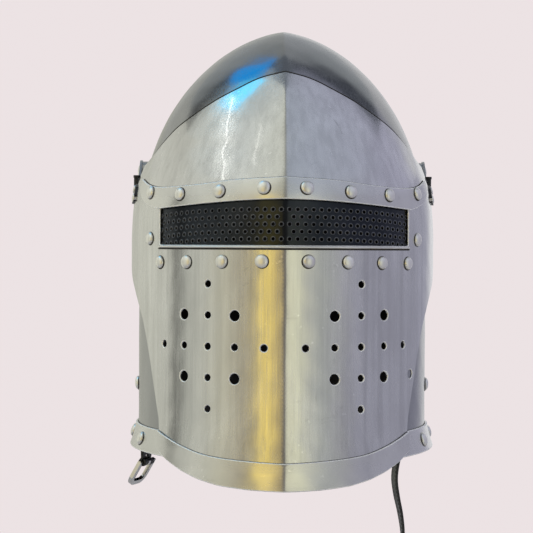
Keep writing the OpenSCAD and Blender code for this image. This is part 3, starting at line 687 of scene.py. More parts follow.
def dome(diameter, height, tail_at, tail_r, shank_r, edge=0.3):
    """Profile of a rivet from its crown down through the plates to its flattened tail."""
    r = diameter / 2
    head = [(r * math.sin(t) ** 0.9, edge + (height - edge) * math.cos(t))
            for t in np.radians([3, 14, 27, 40, 53, 66, 78, 90])]
    return head + [(r + 0.05, edge * 0.5), (r - 0.1, 0.0), (shank_r, 0.0), (shank_r, -tail_at),
                   (tail_r, -tail_at), (tail_r + 0.3, -tail_at - 0.5), (tail_r - 0.6, -tail_at - 1),
                   (0.3, -tail_at - 1)]


def ring_faces(base, count):
    """Faces of a closed ring of count sections with six points each, from the point numbered base."""
    pairs = [(base + k * 6, base + (k + 1) % count * 6) for k in range(count)]
    return [(a + m, b + m, b + (m + 1) % 6, a + (m + 1) % 6) for a, b in pairs for m in range(6)]


def shade_rings(name, places, radius, body, shift=0.45, thick=0.4):
    """Painted shade: dark rings under rivet heads, thicker on the side of the crease and below, where their
    shade falls.
    """
    verts, faces = [], []
    for point, normal in places:
        side, up = tangents(normal)
        inward = -np.sign(point[0]) * side * np.sign(side[0] or 1)
        # the ring is moved towards the crease and down, where the painted shade is heaviest
        centre = point + shift * (0.8 * inward - 0.5 * up)
        base = len(verts)
        for k in range(28):
            a = k * 2 * math.pi / 28
            out = math.cos(a) * side + math.sin(a) * up
            for m in range(6):
                b = m * math.pi / 3
                verts.append(centre + (radius + thick * math.cos(b)) * out + thick * math.sin(b) * normal)
        faces += ring_faces(base, 28)
    obj = make_object(name, verts, faces)
    fix_winding(obj)
    return dress(obj, painted_shade_and_stitch, body)


def wall_places(wall, spots, out):
    """Points and normals at turning angles and heights, on both sides."""
    found = []
    for turn, z in spots:
        q = wall.turn_to_q(turn, z)
        for side in (1, -1):
            point, normal = wall.at(side * q, wall.arc_up(z), out)
            found.append((point, normal))
    return found


def all_rivets():
    upper, lower = SCREEN_RIVETS[:4], SCREEN_RIVETS[4:]
    behind = PLATE + LAP + SCREEN_T + 0.2
    high = wall_places(visor_wall, upper, PLATE + BAND)
    low = wall_places(visor_wall, lower, PLATE)
    rivets("band_rivet_set", high, dome(9.6, 2.7, BAND + behind, 2.4, 1.9), "visor",
           "sight_rivets")
    rivets("sight_rivet_set", low, dome(9.6, 2.7, behind, 2.4, 1.9), "visor", "sight_rivets")
    # dark rings of painted shade round the rivet heads
    shade_rings("band_rivet_shade", high, 4.75, "visor")
    shade_rings("sight_rivet_shade", low, 4.75, "visor")
    rims = wall_places(skull_wall, [(t, RIM_RIVET_Z) for t in RIM_TURNS], BAND)
    rivets("rim_rivet_set", rims, dome(10.4, 2.8, BAND + PLATE + 0.2, 2.9, 2.1), "helm",
           "rim_rivets")
    # dark rings of painted shade round the rivet heads
    shade_rings("rim_rivet_shade", rims, 5.15, "helm")
    leaf = wall_places(visor_wall, LEAF_RIVETS, PLATE + 1.6)
    for side, places in (("left", leaf[0::2]), ("right", leaf[1::2])):
        rivets(f"leaf_rivet_set_{side}", places, dome(6.4, 1.1, 1.6 + PLATE + 0.3, 1.9, 1.4), "visor",
               f"leaf_rivets_{side}")
    lined = wall_places(skull_wall, [(t, 84) for t in LINER_TURNS], 0.0)
    rivets("liner_rivet_set", lined, dome(8, 1.8, PLATE + 6.2, 2.7, 1.9), "helm",
           "liner_rivets")
    flush = wall_places(skull_wall, [(20, 84), (42, 84)], 0.0)
    button = [(1.6, -0.1), (1.9, -0.3), (1.9, -8), (2.8, -8), (2.9, -8.6), (0.5, -9)]
    rivets("liner_flush_rivet_set", flush, button, "helm", "liner_rivets")
    straps = []
    for side in (1, -1):
        straps.append((np.array([side * (SKULL_W - 0.15), *STRAP_RIVET]), np.array([side, 0, 0.0])))
    rivets("strap_rivet_set", straps, dome(10.4, 2.9, 6.4, 4.2, 2.1), "helm", "strap_rivets")
    # dark rings of painted shade round the rivet heads
    shade_rings("strap_rivet_shade", straps, 5.1, "helm")


# ---- visor -------------------------------------------------------------------------------------

def rear_corner():
    """Where the brow edge meets the upright rear edge: domain points of both."""
    brow = on(visor_wall, curve(BROW_EDGE, 2.0))
    limit = visor_wall.side(-0.5, 62.0)
    brow = brow[brow[:, 0] < limit - 1.5]
    rear = curve([(-0.5, brow[-1, 1] - 0.2), (-0.5, 36), (-0.5, 10)], 2.0, False)
    bend = curve(REAR_EDGE[1:], 2.0)
    return brow, on(visor_wall, rear, False), on(visor_wall, bend, False)


def meet_crease(line):
    """Ends a domain line exactly on the crease."""
    line = line[line[:, 0] > 0.6]
    return np.vstack([line, [0, line[-1, 1]]])


def across(half):
    """A line over the crease, from its half that starts on the crease."""
    return np.concatenate([half[:0:-1] * [-1, 1], half])


def sight_ring(grow=1.0):
    top = curve([(x, z + grow) for x, z in SIGHT_TOP], 2.0)
    bottom = np.array([(x, 0.5) for x in np.linspace(SIGHT_W, 0, 47)])
    corner = [(SIGHT_W, z) for z in np.linspace(28.4 + grow - 1.5, 2, 12)]
    half = on(visor_wall, np.vstack([top[:-1], [(SIGHT_W - 0.6, 28.4 + grow - 0.4)], corner,
                                     [(SIGHT_W - 0.5, 0.9)], bottom[1:]]))
    return mirrored(half)


def breath_rings():
    base = visor_wall.turn_to_q(BREATH_TURN, BREATH_Z)
    rings = []
    for side in (1, -1):
        for pattern, d in ((BREATH_SMALL, 5.0), (BREATH_BIG, 7.6)):
            for i, j in pattern:
                q, z = base + i * BREATH_PITCH, BREATH_Z + j * BREATH_PITCH
                rings.append(circle(side * q, z, d / 2 + 0.8))
    rings.append(circle(visor_wall.turn_to_q(56, -93.0), -93, 6.4 / 2 + 0.8))
    return rings


def visor():
    brow, upright, bend = rear_corner()
    chin = meet_crease(on(visor_wall, curve([p for p in CHIN_EDGE], 1.0, False), False))
    half = join(brow, upright, bend, chin)
    half[0] = (0, PEAK)
    body = plate("visor_sheet", visor_wall, mirrored(half), [sight_ring(), *breath_rings()], step=3.0,
                 bevel=0.75, rows=(0.5, 1.2))
    # the inner face is near-black, painted shade inside the visor
    dress(body, visor_steel, "visor", ["visor_plate"], inner_shade_steel)

    # a dark bead on the skull along the visor's brow edge: the painted shadow of that edge
    crest = on(skull_wall, curve([(x, z + 1.2) for x, z in BROW_EDGE[:9]], 2.0))
    crest[0, 0] = 0
    dress(bead("crest_shadow_line", skull_wall, across(crest), 0.05, 0.35, False), painted_shade_and_stitch, "helm")

    # brow band
    wall = visor_wall
    top = curve(BROW_BAND_TOP, 2.0)
    end = curve([BROW_BAND_TOP[-1], *BROW_BAND_END], 1.5)
    low = curve(SIGHT_TOP[::-1], 2.0)
    half = on(wall, join(top, end, low))
    half[0, 0] = half[-1, 0] = 0
    band = plate("brow_strip", wall, mirrored(half), out=PLATE + BAND, thickness=BAND - LAP, step=2.5,
                 bevel=0.7, rows=(0.5, 1.2))
    dress(band, band_steel, "visor", ["brow_band"], band_steel)
    # a dark bead on the plate along the band's upper edge: painted shade of the joint, partly grime
    line = across(half[:len(top) + len(end) - 4]) + [0, 0.45]
    dress(bead("brow_shade_line", wall, line, PLATE + 0.05, 0.3, False), painted_shade_and_stitch, "visor")

    # chin band
    top = meet_crease(on(wall, curve(BAND_TOP, 1.0), False))
    chin = meet_crease(on(wall, curve(CHIN_EDGE, 1.0, False), False))
    end = on(wall, curve([BAND_TOP[0], CHIN_EDGE[0]], 1.5, False), False)
    half = join(top[::-1], end, chin)
    half[:, 0] = np.where(half[:, 0] < 0.3, 0, half[:, 0])
    band = plate("chin_strip", wall, mirrored(half), out=PLATE + BAND, thickness=BAND - LAP, step=2.5,
                 bevel=0.7, rows=(0.5, 1.2))
    dress(band, band_steel, "visor", ["chin_band"], band_steel)
    # a dark bead on the plate along the band's upper edge: painted shade of the joint, partly grime
    line = across(half[:len(top)]) + [0, 0.4]
    dress(bead("chin_shade_line", wall, line, PLATE + 0.05, 0.32, False), painted_shade_and_stitch, "visor")
    sight_lip()


def sight_lip():
    """The turned-out lower edge of the sight in the lighter rivet steel, a painted highlight, and the painted
    shadow line under it.
    """
    end = visor_wall.front(SIGHT_W, 0.0)
    q = np.linspace(-end, end, 150)
    section = [(1.6, -0.9), (2.6, -0.88), (3.6, -0.75), (4.25, -0.4), (4.45, 0.0), (4.3, 0.35), (3.7, 0.6),
               (2.6, 0.62), (0.4, 0.6), (0.4, -0.4)]
    rows = []
    for out, z in section:
        taper = np.clip((end - np.abs(q)) / 6, 0.35, 1)
        rows.append(visor_wall.at(q, np.full(len(q), z), PLATE)[0]
                    + visor_wall.at(q, np.full(len(q), z), PLATE)[1] * ((out - PLATE) * taper)[:, None])
    grid = np.stack(rows, 1)
    count, ring = grid.shape[:2]
    faces = []
    for i in range(count - 1):
        faces += [(i * ring + k, i * ring + (k + 1) % ring, (i + 1) * ring + (k + 1) % ring,
                   (i + 1) * ring + k) for k in range(ring)]
    faces += [tuple(range(ring)), tuple(range(count * ring - 1, (count - 1) * ring - 1, -1))]
    lip = make_object("sight_lip", grid.reshape(-1, 3), faces, sharp=60)
    fix_winding(lip)
    # the lip takes the lighter rivet steel: a painted highlight along the turned-out edge
    dress(lip, rivet_steel, "visor", ["visor_plate"])
    # a dark bead under the lip: its painted shadow
    line = np.stack([q, np.full(len(q), -1.5)], -1)
    dress(bead("lip_shadow_line", visor_wall, line, PLATE + 0.05, 0.6, False), painted_shade_and_stitch, "visor")


def screen_spots():
    spots = []
    for row in range(5):
        for column in range(19):
            arc = (column + (0.5 if row % 2 == 0 else 1.0)) * 6.0
            if arc < 6.0 * 18.7:
                z = 5.7 + row * 6.0 * 0.866 - 4.1 * (arc / 110) ** 2.4
                spots += [(arc, z), (-arc, z)]
    return spots


def screen():
    """Perforated sheet behind the sight; each hole has a punched burr round it."""
    wall = visor_wall
    half = on(wall, join(*[curve(SCREEN_EDGE[i:i + 2], 2.5, False) for i in range(6)]))
    half[0, 0] = half[-1, 0] = 0
    spots = screen_spots()
    sheet = plate("sight_sheet", wall, mirrored(half), [circle(q, z, 1.55, 14) for q, z in spots],
                  out=-LAP, thickness=SCREEN_T, bevel=0.25, step=2.6)
    dress(sheet, screen_black, "visor", ["sight_screen"])
    section = [(1.2, -0.25), (1.25, 0.2), (1.5, 0.55), (1.75, 0.42), (2.1, -0.08), (1.6, -0.3)]
    verts, faces = [], []
    for q, z in spots:
        centre, normal = wall.at(q, z, -LAP)
        side, up = tangents(normal)
        base, count = len(verts), 14
        lift = rng.uniform(0.8, 1.25)
        for k in range(count):
            a = k * 2 * math.pi / count
            out = math.cos(a) * side + math.sin(a) * up
            curl = lift * (0.08 + 1.1 * (0.5 + 0.5 * math.cos(a + 0.9)))
            verts += [centre + r * out + (curl * h if h > 0 else h) * normal for r, h in section]
        faces += ring_faces(base, count)
    burrs = make_object("sight_burrs", verts, faces)
    fix_winding(burrs)
    dress(burrs, burr_black, "visor", ["sight_screen"])


# ---- liner -------------------------------------------------------------------------------------

def crown_profile():
    """Half widths and heights of the lobes' outer face, from the band up to the lace."""
    root = [(float(skull_width(z * (APEX - LINER_IN - 0.1) / APEX, -LINER_IN - 0.1)),
             z * (APEX - LINER_IN - 0.1) / APEX) for z in (78, 83, 88, 93)]
    tip = [(83.5, 100), (74, 109.5), (61, 119), (48, 126), (34, 130.6), (27, 132.4)]
    return curve(root + tip, 2.2)


def lens(r, angle):
    """Distance from the centre to a ridged ring of half width r, seen at an angle from +X."""
    c = abs(math.cos(angle))
    return -SHIFT * c + np.sqrt((SHIFT * c) ** 2 + r * r + 2 * SHIFT * r)


def lobe(index):
    """One stuffed leather lobe with sewn channels, a bound edge and its tunnel round the lace."""
    line = crown_profile()
    middle = (index + 0.5) * 2 * math.pi / LOBES
    across = 33
    outer, inner = [], []
    slope = np.gradient(line, axis=0)
    slope /= np.linalg.norm(slope, axis=1, keepdims=True)
    for i, (r, z) in enumerate(line):
        lengthways = i / (len(line) - 1)
        for k in range(across):
            b = -1 + 2 * k / (across - 1)
            reach = lens(r, middle)
            half = math.pi / LOBES - math.asin(min(0.9, 2.9 / reach))
            angle = middle + b * half
            rho = lens(r, angle)
            spot = np.array([rho * math.cos(angle), rho * math.sin(angle), z])
            radial = np.array([math.cos(angle), math.sin(angle), 0])
            inward = slope[i, 1] * -radial + slope[i, 0] * np.array([0, 0, 1.0])
            inward = inward if inward @ (spot - [0, 0, 60]) < 0 else -inward
            channel = abs(math.sin(1.5 * math.pi * (b + 1)))
            edge = min(1, (1 - abs(b)) * 5) * min(1, lengthways * 9) * min(1, (1 - lengthways) * 7)
            puff = 4.2 * channel ** 0.45 * edge ** 0.5
            wrinkle = 0.35 * math.sin(lengthways * 37 + 3 * b + index) * channel * edge
            outer.append(spot + inward * (0.15 + 0.5 * (1 - edge)))
            inner.append(spot + inward * (2.3 + puff * 0.75 + wrinkle))
    count = len(line)
    verts = outer + inner
    n = len(outer)
    faces = []
    for i in range(count - 1):
        for k in range(across - 1):
            a = i * across + k
            faces.append((a, a + 1, a + across + 1, a + across))
            faces.append((n + a, n + a + across, n + a + across + 1, n + a + 1))
    ring = ([k for k in range(across)] + [i * across + across - 1 for i in range(1, count)]
            + [(count - 1) * across + k for k in range(across - 2, -1, -1)]
            + [i * across for i in range(count - 2, 0, -1)])
    faces += [(ring[m], ring[(m + 1) % len(ring)], n + ring[(m + 1) % len(ring)], n + ring[m])
              for m in range(len(ring))]
    pad = make_object(f"liner_pad_{index}", verts, faces, sharp=70)
    fix_winding(pad)
    dress(pad, liner_leather, "helm", [f"liner_lobe_{index}"])

    # tunnel round the lace
    half = math.pi / LOBES - math.asin(3.0 / LACE_R)
    angles = np.linspace(middle - half, middle + half, 15)
    centres = np.stack([LACE_R * np.cos(angles), LACE_R * np.sin(angles), np.full(15, SEAT + 3.5)], -1)
    sides = np.stack([np.cos(angles), np.sin(angles), np.zeros(15)], -1)
    ups = np.tile([0, 0, 1.0], (15, 1))
    a = np.arange(17) * 2 * math.pi / 16
    rings = []
    for i in range(15):
        gather = 1 + 0.05 * math.sin(i * 2.4)
        hollow = [(1.75 * math.cos(t), 1.75 * math.sin(t)) for t in a[::-1]]
        rings.append([(3.2 * gather * math.cos(t), 3.2 * gather * math.sin(t)) for t in a] + hollow)
    tunnel = sweep(f"liner_tunnel_{index}", centres, sides, ups, rings, sharp=50)
    dress(tunnel, liner_leather, "helm", [f"liner_lobe_{index}"])

    # stitches along the channels
    stitch_lines = [[(b, i / 44) for i in range(3, 42)] for b in (-0.34, 0.34)]
    places = []
    for stitches in stitch_lines:
        for b, s in stitches:
            i = int(s * (count - 1))
            k = int(round((b + 1) / 2 * (across - 1)))
            here, there = inner[i * across + k], inner[min(count - 1, i + 1) * across + k]
            places.append((here, there))
    threads(f"liner_thread_{index}", places, spot_inside=np.array([0, 0, 60.0]), body="helm", radius=0.4)


LINER_STITCH = ((-0.5, 0.3), (-0.35, 0.9), (0, 1), (0.35, 0.9), (0.5, 0.3))   # (along, share of radius)
STRAP_STITCH = ((-0.5, 0.3), (-0.3, 0.9), (0.3, 0.9), (0.5, 0.3))


def capsule(verts, faces, centre, length, side, up, section):
    """Adds one stitch, a small closed capsule, to the lists of points and faces."""
    base = len(verts)
    for step, r in section:
        for m in range(6):
            b = m * math.pi / 3
            verts.append(centre + length * step + r * (math.cos(b) * side + math.sin(b) * up))
    last = base + 6 * (len(section) - 1)
    for a in range(base, last, 6):
        faces.extend((a + m, a + (m + 1) % 6, a + 6 + (m + 1) % 6, a + 6 + m) for m in range(6))
    faces.extend([tuple(base + m for m in range(5, -1, -1)), tuple(last + m for m in range(6))])


def threads(name, places, spot_inside, body, radius=0.4, length=1.7):
    """Short stitches that stand a little proud of a skin, each a small capsule."""
    verts, faces = [], []
    for here, there in places:
        ahead = there - here
        size = np.linalg.norm(ahead)
        if size < 1e-6:
            continue
        ahead = ahead / size
        out = spot_inside - here
        out -= ahead * (out @ ahead)
        out /= np.linalg.norm(out)
        side = np.cross(ahead, out)
        capsule(verts, faces, here + out * 0.15, ahead * length, radius * side, radius * out, LINER_STITCH)
    obj = make_object(name, verts, faces)
    fix_winding(obj)
    return dress(obj, thread, body)


def liner():
    """The leather band round the inside of the skull, and all that is fixed to it."""
    wall = Wall(skull_width, -PLATE - 0.3, 3.0)
    low, high = 74.3, 93.6
    ring = np.array([(0.0, low)] + [(q, low) for q in np.arange(3, wall.span(low) - 1, 3.0)]
                    + [(wall.span(z), z) for z in np.linspace(low, high, 8)]
                    + [(q, high) for q in np.arange(3, wall.span(high) - 1, 3.0)[::-1]]
                    + [(0.0, z) for z in np.linspace(high, low, 8)[:-1]])
    verts, faces, shade, uvs, _ = both_sides(wall, ring, 3.2, None, 2.4, 0.5)
    band = make_object("liner_strip", verts, faces, shade, uvs)
    dress(band, liner_leather, "helm", ["liner_band"])
    for index in range(1, LOBES + 1):
        lobe(index)
    lace()


def lace():
    """The drawn lace: three twisted strands in one ring."""
    count = 220
    a = np.arange(count) * 2 * math.pi / count
    centres = np.stack([LACE_R * np.cos(a), LACE_R * np.sin(a), np.full(count, SEAT + 3.5)], -1)
    sides = np.stack([np.cos(a), np.sin(a), np.zeros(count)], -1)
    rings = []
    for i in range(count):
        twist = i * 2 * math.pi * 18 / count
        rings.append([((1.28 + 0.24 * math.cos(3 * (t + twist))) * math.cos(t),
                       (1.28 + 0.24 * math.cos(3 * (t + twist))) * math.sin(t))
                      for t in np.arange(18) * math.pi / 9])
    cord = sweep("drawn_lace", centres, sides, np.tile([0, 0, 1.0], (count, 1)), rings, True, sharp=80)
    dress(cord, lace_cord, "helm", ["crown_lace"])


# ---- strap and buckle --------------------------------------------------------------------------

def leather_strip(name, route, half_width, thickness, holes, step=2.2, bevel=0.5):
    """A flat leather along a route of (x, y, z, twist); holes are rings of (across, along).
    half_width is a function of the length along, which also shapes the two ends."""
    line = curve(route, 1.0)
    run = np.concatenate([[0], np.cumsum(np.linalg.norm(np.diff(line[:, :3], axis=0), axis=1))])
    total = run[-1]

    def frames(s):
        p = np.stack([np.interp(s, run, line[:, k]) for k in range(3)], -1)
        h = 1.5
        ahead = (np.stack([np.interp(s + h, run, line[:, k]) for k in range(3)], -1)
                 - np.stack([np.interp(s - h, run, line[:, k]) for k in range(3)], -1))
        ahead /= np.maximum(np.linalg.norm(ahead, axis=-1, keepdims=True), 1e-9)
        twist = np.radians(np.interp(s, run, line[:, 3]))
        flat = np.stack([-np.sin(twist), np.cos(twist), np.zeros_like(twist)], -1)
        flat -= ahead * np.sum(flat * ahead, -1, keepdims=True)
        flat /= np.linalg.norm(flat, axis=-1, keepdims=True)
        return p, flat, np.cross(flat, ahead)

    s = np.concatenate([[0.01], np.arange(1.0, total, step / 1.5), [total - 0.01]])
    w = np.array([half_width(v, total) for v in s])
    ring = np.concatenate([np.stack([w, s], -1), np.stack([-w, s], -1)[::-1]])
    ring = ring[np.concatenate([[True], np.linalg.norm(np.diff(ring, axis=0), axis=1) > 0.2])]
    flat, tris = triangulate(ring, holes, step)
    p, side, up = frames(flat[:, 1])
    points = p + side * flat[:, :1] + up * thickness / 2
    tris = tris[:, ::-1]
    normal_sign = np.cross(points[tris[0, 1]] - points[tris[0, 0]], points[tris[0, 2]] - points[tris[0, 0]])
    if normal_sign @ up[tris[0, 0]] < 0:
        tris = tris[:, ::-1]
    verts, faces, shade, uvs = thicken(points, up, tris, flat, thickness, bevel)
    return make_object(name, verts, faces, shade, uvs), frames, total


def strap():
    def half(v, total):
        nose, point = ease(v / 9) ** 0.5, np.clip((total - v) / 13, 0, 1) ** 0.6
        return STRAP_W / 2 * min(0.55 + 0.45 * nose, 0.22 + 0.78 * point) - 0.5
    holes = []
    line = curve([p[:3] for p in STRAP_ROUTE], 1.0)
    run = np.concatenate([[0], np.cumsum(np.linalg.norm(np.diff(line, axis=0), axis=1))])
    for i in range(9, 15):
        along = run[np.argmin(np.abs(line[:, 2] - STRAP_ROUTE[i][2]))]
        holes.append(circle(0, along, 1.6, 16))
    piece, frames, total = leather_strip("chin_leather", STRAP_ROUTE, half, STRAP_T, holes)
    dress(piece, strap_leather, "chin_strap", ["chin_strap"])
    threads_on_strip("chin_thread", frames, total, STRAP_W / 2 - 2.1, "chin_strap", 8, 14)


def threads_on_strip(name, frames, total, offset, body, start, stop):
    verts, faces = [], []
    for edge in (-1, 1):
        for face in (-1, 1):
            for v in np.arange(start, total - stop, 3.1):
                p, side, up = (a[0] for a in frames(np.array([v])))
                ahead = np.cross(up, side)
                centre0 = p + side * edge * offset + up * face * (STRAP_T / 2 - 0.02)
                capsule(verts, faces, centre0, ahead * 2.1, 0.28 * side, 0.28 * up * face, STRAP_STITCH)
    obj = make_object(name, verts, faces)
    fix_winding(obj)
    return dress(obj, painted_shade_and_stitch, body)


def tab():
    """The buckle's short leather: down from its rivet and folded round the buckle's bar."""
    yaw = math.radians(BUCKLE_YAW)
    out = np.array([-math.cos(yaw), -math.sin(yaw), 0])
    centre = np.array(BUCKLE_AT, float)
    r = BAR_D / 2 + 0.12 + 1.0
    route = [tuple(p) for p in TAB_ROUTE[:-1]]
    start = TAB_ROUTE[-2]
    loop = []
    for a in np.radians([75, 40, 5, -35, -75, -115, -155, -195, -230]):
        p = centre + out * r * math.cos(a) + np.array([0, 0, 1.0]) * r * math.sin(a)
        loop.append((*p, BUCKLE_YAW))
    line = route + [(start[0] * 0.5 + loop[0][0] * 0.5, start[1] * 0.5 + loop[0][1] * 0.5,
                     start[2] * 0.5 + loop[0][2] * 0.5 + 0.5, BUCKLE_YAW)] + loop

    def half(v, total):
        return STRAP_W / 2 * (0.6 + 0.4 * ease(v / 8) ** 0.5) - 0.45

    fine = curve([p[:3] for p in line], 1.0)
    run = np.concatenate([[0], np.cumsum(np.linalg.norm(np.diff(fine, axis=0), axis=1))])
    slot_low = run[np.argmin(np.linalg.norm(fine - centre - [0, 0, 6.2], axis=1))]
    slot_high = run[-1] - 1.6
    slot = [(2.4, slot_low + 2), (2.4, slot_high - 1), (1.2, slot_high), (-1.2, slot_high),
            (-2.4, slot_high - 1), (-2.4, slot_low + 2), (-1.2, slot_low + 0.8), (1.2, slot_low + 0.8)]
    piece, _, _ = leather_strip("buckle_leather", line, half, STRAP_T, [np.array(slot)], 1.6, 0.4)
    dress(piece, strap_leather, "buckle_tab", ["buckle_tab"])


# ---- CAD pieces that stay ----------------------------------------------------------------------

def kept_nodes():
    """CAD nodes that keep their own shape get a material and softened edges."""
    looks = {"hinge_leaf": hinge_steel, "pivot_arm": arm_steel, "hinge_pin": pin_black,
             "pivot_spacer": arm_steel, "pivot_packing": strap_leather, "pivot_stud": rivet_steel,
             "pivot_nut": nut_steel, "buckle_frame": nickel, "buckle_prong": nickel}
    for name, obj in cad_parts.items():
        for start, material in looks.items():
            if name.startswith(start):
                obj.data.materials.clear()
                obj.data.materials.append(material)
                if name.startswith("pivot_arm"):
                    obj.data.materials.append(pin_black)
                    for face in obj.data.polygons:
                        face.material_index = int(abs(face.center.x) > 0.1138)
                soften = obj.modifiers.new("soft_edges", "BEVEL")
                soften.width, soften.segments = 0.0004, 2
                soften.limit_method, soften.angle_limit = "ANGLE", math.radians(40)


# ---- studio ------------------------------------------------------------------------------------

CAMERA_DISTANCE = 1.245     # metres
CAMERA_TURN, CAMERA_AIM, CAMERA_PITCH, CAMERA_ROLL = 0.88, 0.57, -0.708, 0.31     # degrees
CAMERA_LENS = 106.8         # mm, on a sensor 36 mm wide
FLOOR_RADIUS, FLOOR_HEIGHT = 0.86, -0.52
WALL_DISTANCE, STRIP_DISTANCE = 2.6, 2.3


def camera():
    data = bpy.data.cameras.new("camera")
    data.lens, data.sensor_width = CAMERA_LENS, 36
    obj = bpy.data.objects.new("camera", data)
    bpy.context.collection.objects.link(obj)
    turn = math.radians(CAMERA_TURN)
    obj.location = (-CAMERA_DISTANCE * math.sin(turn), -CAMERA_DISTANCE * math.cos(turn), -SEAT * 0.001)
    yaw, pitch = math.radians(CAMERA_TURN - CAMERA_AIM), math.radians(CAMERA_PITCH)
    look = Vector((math.sin(yaw) * math.cos(pitch), math.cos(yaw) * math.cos(pitch), math.sin(pitch)))
    turned = look.to_track_quat("-Z", "Y").to_matrix() @ Matrix.Rotation(math.radians(CAMERA_ROLL), 3, "Z")
    obj.rotation_euler = turned.to_euler()
    bpy.context.scene.camera = obj


def heading(azimuth, elevation):
    """Direction from the helmet: azimuth from the front towards the photo's right, and elevation."""
    a, e = math.radians(azimuth), math.radians(elevation)
    return math.sin(a) * math.cos(e), -math.cos(a) * math.cos(e), math.sin(e)


def studio():
    """Pale floor and sky, and the coloured walls and strips that the steel mirrors."""
    world = bpy.data.worlds.new("studio")
    bpy.context.scene.world = world
    world.use_nodes = True
    tree = world.node_tree
    back = tree.nodes["Background"]
    coords, split = tree.nodes.new("ShaderNodeTexCoord"), tree.nodes.new("ShaderNodeSeparateXYZ")
    ramp = tree.nodes.new("ShaderNodeValToRGB")
    tree.links.new(coords.outputs["Generated"], split.inputs[0])
    tree.links.new(split.outputs["Z"], ramp.inputs["Fac"])
    tree.links.new(ramp.outputs["Color"], back.inputs["Color"])
    pale = (0.84, 0.765, 0.775, 1)
    stops = ramp.color_ramp.elements
    stops[0].position, stops[0].color = 0.20, pale
    stops[1].position, stops[1].color = 0.97, (0.22, 0.25, 0.30, 1)
    stops.new(0.38).color = (0.52, 0.54, 0.56, 1)
    floor_mesh = bpy.data.meshes.new("floor")
    ring = [(FLOOR_RADIUS * math.cos(a), FLOOR_RADIUS * math.sin(a), FLOOR_HEIGHT)
            for a in np.arange(96) * math.pi / 48]
    floor_mesh.from_pydata(ring, [], [tuple(range(96))])
    floor = bpy.data.objects.new("floor", floor_mesh)
    bpy.context.collection.objects.link(floor)
    floor_mesh.materials.append(plain("floor_paint", (0.80, 0.75, 0.75), (0.77, 0.72, 0.72), 0.8))
    bpy.context.scene.view_settings.view_transform = "Standard"
    dusk = (0.41, 0.41, 0.51)
    gold = (1.65, 1.25, 0.33)
    left = (0.80, 0.80, 0.71)
    surround("low_wall", -42, 15, [
        (-180, (0.52, 0.52, 0.46)), (-152, (0.55, 0.55, 0.48)), (-138, (0.72, 0.72, 0.63)),
        (-99, (0.88, 0.88, 0.78)), (-96, (0.12, 0.12, 0.11)), (-91, (0.12, 0.12, 0.11)),
        (-86, (0.66, 0.67, 0.60)), (-70, left), (-56, (0.82, 0.79, 0.62)), (-44, (0.56, 0.51, 0.40)),
        (-35, (0.42, 0.38, 0.28)), (-32.5, gold), (-27, gold), (-23, (0.80, 0.62, 0.30)),
        (-14, (0.25, 0.22, 0.18)), (10, (0.25, 0.24, 0.22)), (17, (0.95, 0.92, 0.72)),
        (27, (1.2, 1.19, 0.86)), (33, (0.80, 0.80, 0.72)), (42, (0.56, 0.59, 0.58)),
        (54, (0.49, 0.49, 0.53)), (64, dusk), (138, dusk), (152, (0.82, 0.82, 0.84)),
        (180, (0.72, 0.71, 0.72))])
    surround("middle_wall", 15, 30, [
        (-180, (0.56, 0.57, 0.54)), (-146, (0.60, 0.60, 0.55)), (-134, (0.80, 0.80, 0.72)),
        (-100, (0.80, 0.80, 0.72)), (-60, (0.84, 0.86, 0.80)), (-25, (0.84, 0.84, 0.70)),
        (-15, (0.3, 0.3, 0.26)), (14, (0.3, 0.3, 0.3)), (22, (0.56, 0.62, 0.70)),
        (100, (0.49, 0.49, 0.64)), (126, (0.5, 0.5, 0.64)), (140, (0.70, 0.70, 0.72)),
        (180, (0.80, 0.80, 0.80))])
    surround("high_wall", 30, 72, [
        (-180, (0.50, 0.51, 0.50)), (-143, (0.50, 0.53, 0.53)), (-132, (0.30, 0.32, 0.32)),
        (-125, (0.10, 0.10, 0.10)), (-117, (0.14, 0.14, 0.13)), (-111, (0.78, 0.80, 0.74)),
        (-60, (0.84, 0.88, 0.86)), (-25, (0.98, 1.0, 0.9)), (-12, (0.5, 0.5, 0.45)),
        (12, (0.4, 0.43, 0.45)), (22, (0.56, 0.62, 0.74)), (106, (0.52, 0.53, 0.68)),
        (113, (0.10, 0.11, 0.14)), (125, (0.09, 0.10, 0.13)), (138, (0.50, 0.53, 0.56)),
        (180, (0.56, 0.58, 0.60))])
    strip("blue_glow", (-0.54, 0.33, 0.78), (-0.30, 0.19, 0.93), 12, (0.0, 0.75, 2.1))
    strip("blue_spill", (-0.68, 0.0, 0.74), (-0.40, 0.09, 0.92), 16, (0.3, 1.5, 2.3))
    strip("streak", (-0.78, -0.40, 0.48), (-0.60, 0.08, 0.79), 0.8, (6.0, 6.0, 5.8))
    strip("flick", (-0.54, -0.55, 0.64), (-0.52, -0.47, 0.72), 0.9, (3.2, 3.2, 3.0))


def staged(name, verts, faces, glow):
    """An object of the set that only shows in reflections and lights the scene."""
    mesh = bpy.data.meshes.new(name)
    mesh.from_pydata([tuple(Vector(v) + Vector((0, 0, -SEAT * 0.001))) for v in verts], [], faces)
    mesh.materials.append(glow)
    obj = bpy.data.objects.new(name, mesh)
    bpy.context.collection.objects.link(obj)
    obj.visible_camera = obj.visible_shadow = False
    return obj


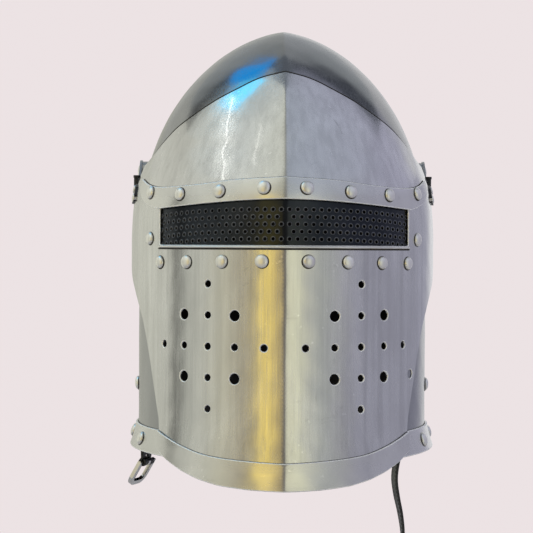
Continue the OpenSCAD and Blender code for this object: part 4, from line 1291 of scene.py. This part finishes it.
def glowing(name, radiance):
    """Material that glows, and its emission socket."""
    material = bpy.data.materials.new(name)
    material.use_nodes = True
    tree = material.node_tree
    tree.nodes.clear()
    glow, end = tree.nodes.new("ShaderNodeEmission"), tree.nodes.new("ShaderNodeOutputMaterial")
    glow.inputs["Color"].default_value = (*radiance, 1)
    tree.links.new(glow.outputs[0], end.inputs[0])
    return material, glow.inputs["Color"]


def strip(name, start, end, width, radiance, distance=STRIP_DISTANCE):
    """A glowing strip between two directions from the helmet, width in degrees."""
    a, b = Vector(start).normalized(), Vector(end).normalized()
    side = a.cross(b).normalized() * distance * math.tan(math.radians(width / 2))
    a, b = a * distance, b * distance
    staged(name, [a - side, a + side, b + side, b - side], [(0, 1, 2, 3)], glowing(name, radiance)[0])


def surround(name, low, high, stops, distance=WALL_DISTANCE):
    """A glowing wall all round the helmet between two elevations, coloured by azimuth."""
    columns, rows = 120, 8
    verts = [Vector(heading(-180 + 360 * i / columns, low + (high - low) * k / rows)) * distance
             for i in range(columns + 1) for k in range(rows + 1)]
    faces = [(i * (rows + 1) + k, (i + 1) * (rows + 1) + k, (i + 1) * (rows + 1) + k + 1,
              i * (rows + 1) + k + 1) for i in range(columns) for k in range(rows)]
    material, socket = glowing(name, (1, 1, 1))
    tree = material.node_tree
    coords, split = tree.nodes.new("ShaderNodeTexCoord"), tree.nodes.new("ShaderNodeSeparateXYZ")
    ramp = tree.nodes.new("ShaderNodeValToRGB")
    tree.links.new(coords.outputs["UV"], split.inputs[0])
    tree.links.new(split.outputs["X"], ramp.inputs["Fac"])
    tree.links.new(ramp.outputs["Color"], socket)
    marks = ramp.color_ramp.elements
    for mark, (azimuth, colour) in zip(marks, (stops[0], stops[-1])):
        mark.position, mark.color = (azimuth + 180) / 360, (*colour, 1)
    for azimuth, colour in stops[1:-1]:
        marks.new((azimuth + 180) / 360).color = (*colour, 1)
    obj = staged(name, verts, faces, material)
    layer = obj.data.uv_layers.new(name="round")
    for loop in obj.data.loops:
        layer.data[loop.index].uv = (loop.vertex_index // (rows + 1) / columns, 0.5)


camera()
skull()
rim()
visor()
screen()
all_rivets()
liner()
strap()
tab()
kept_nodes()
studio()
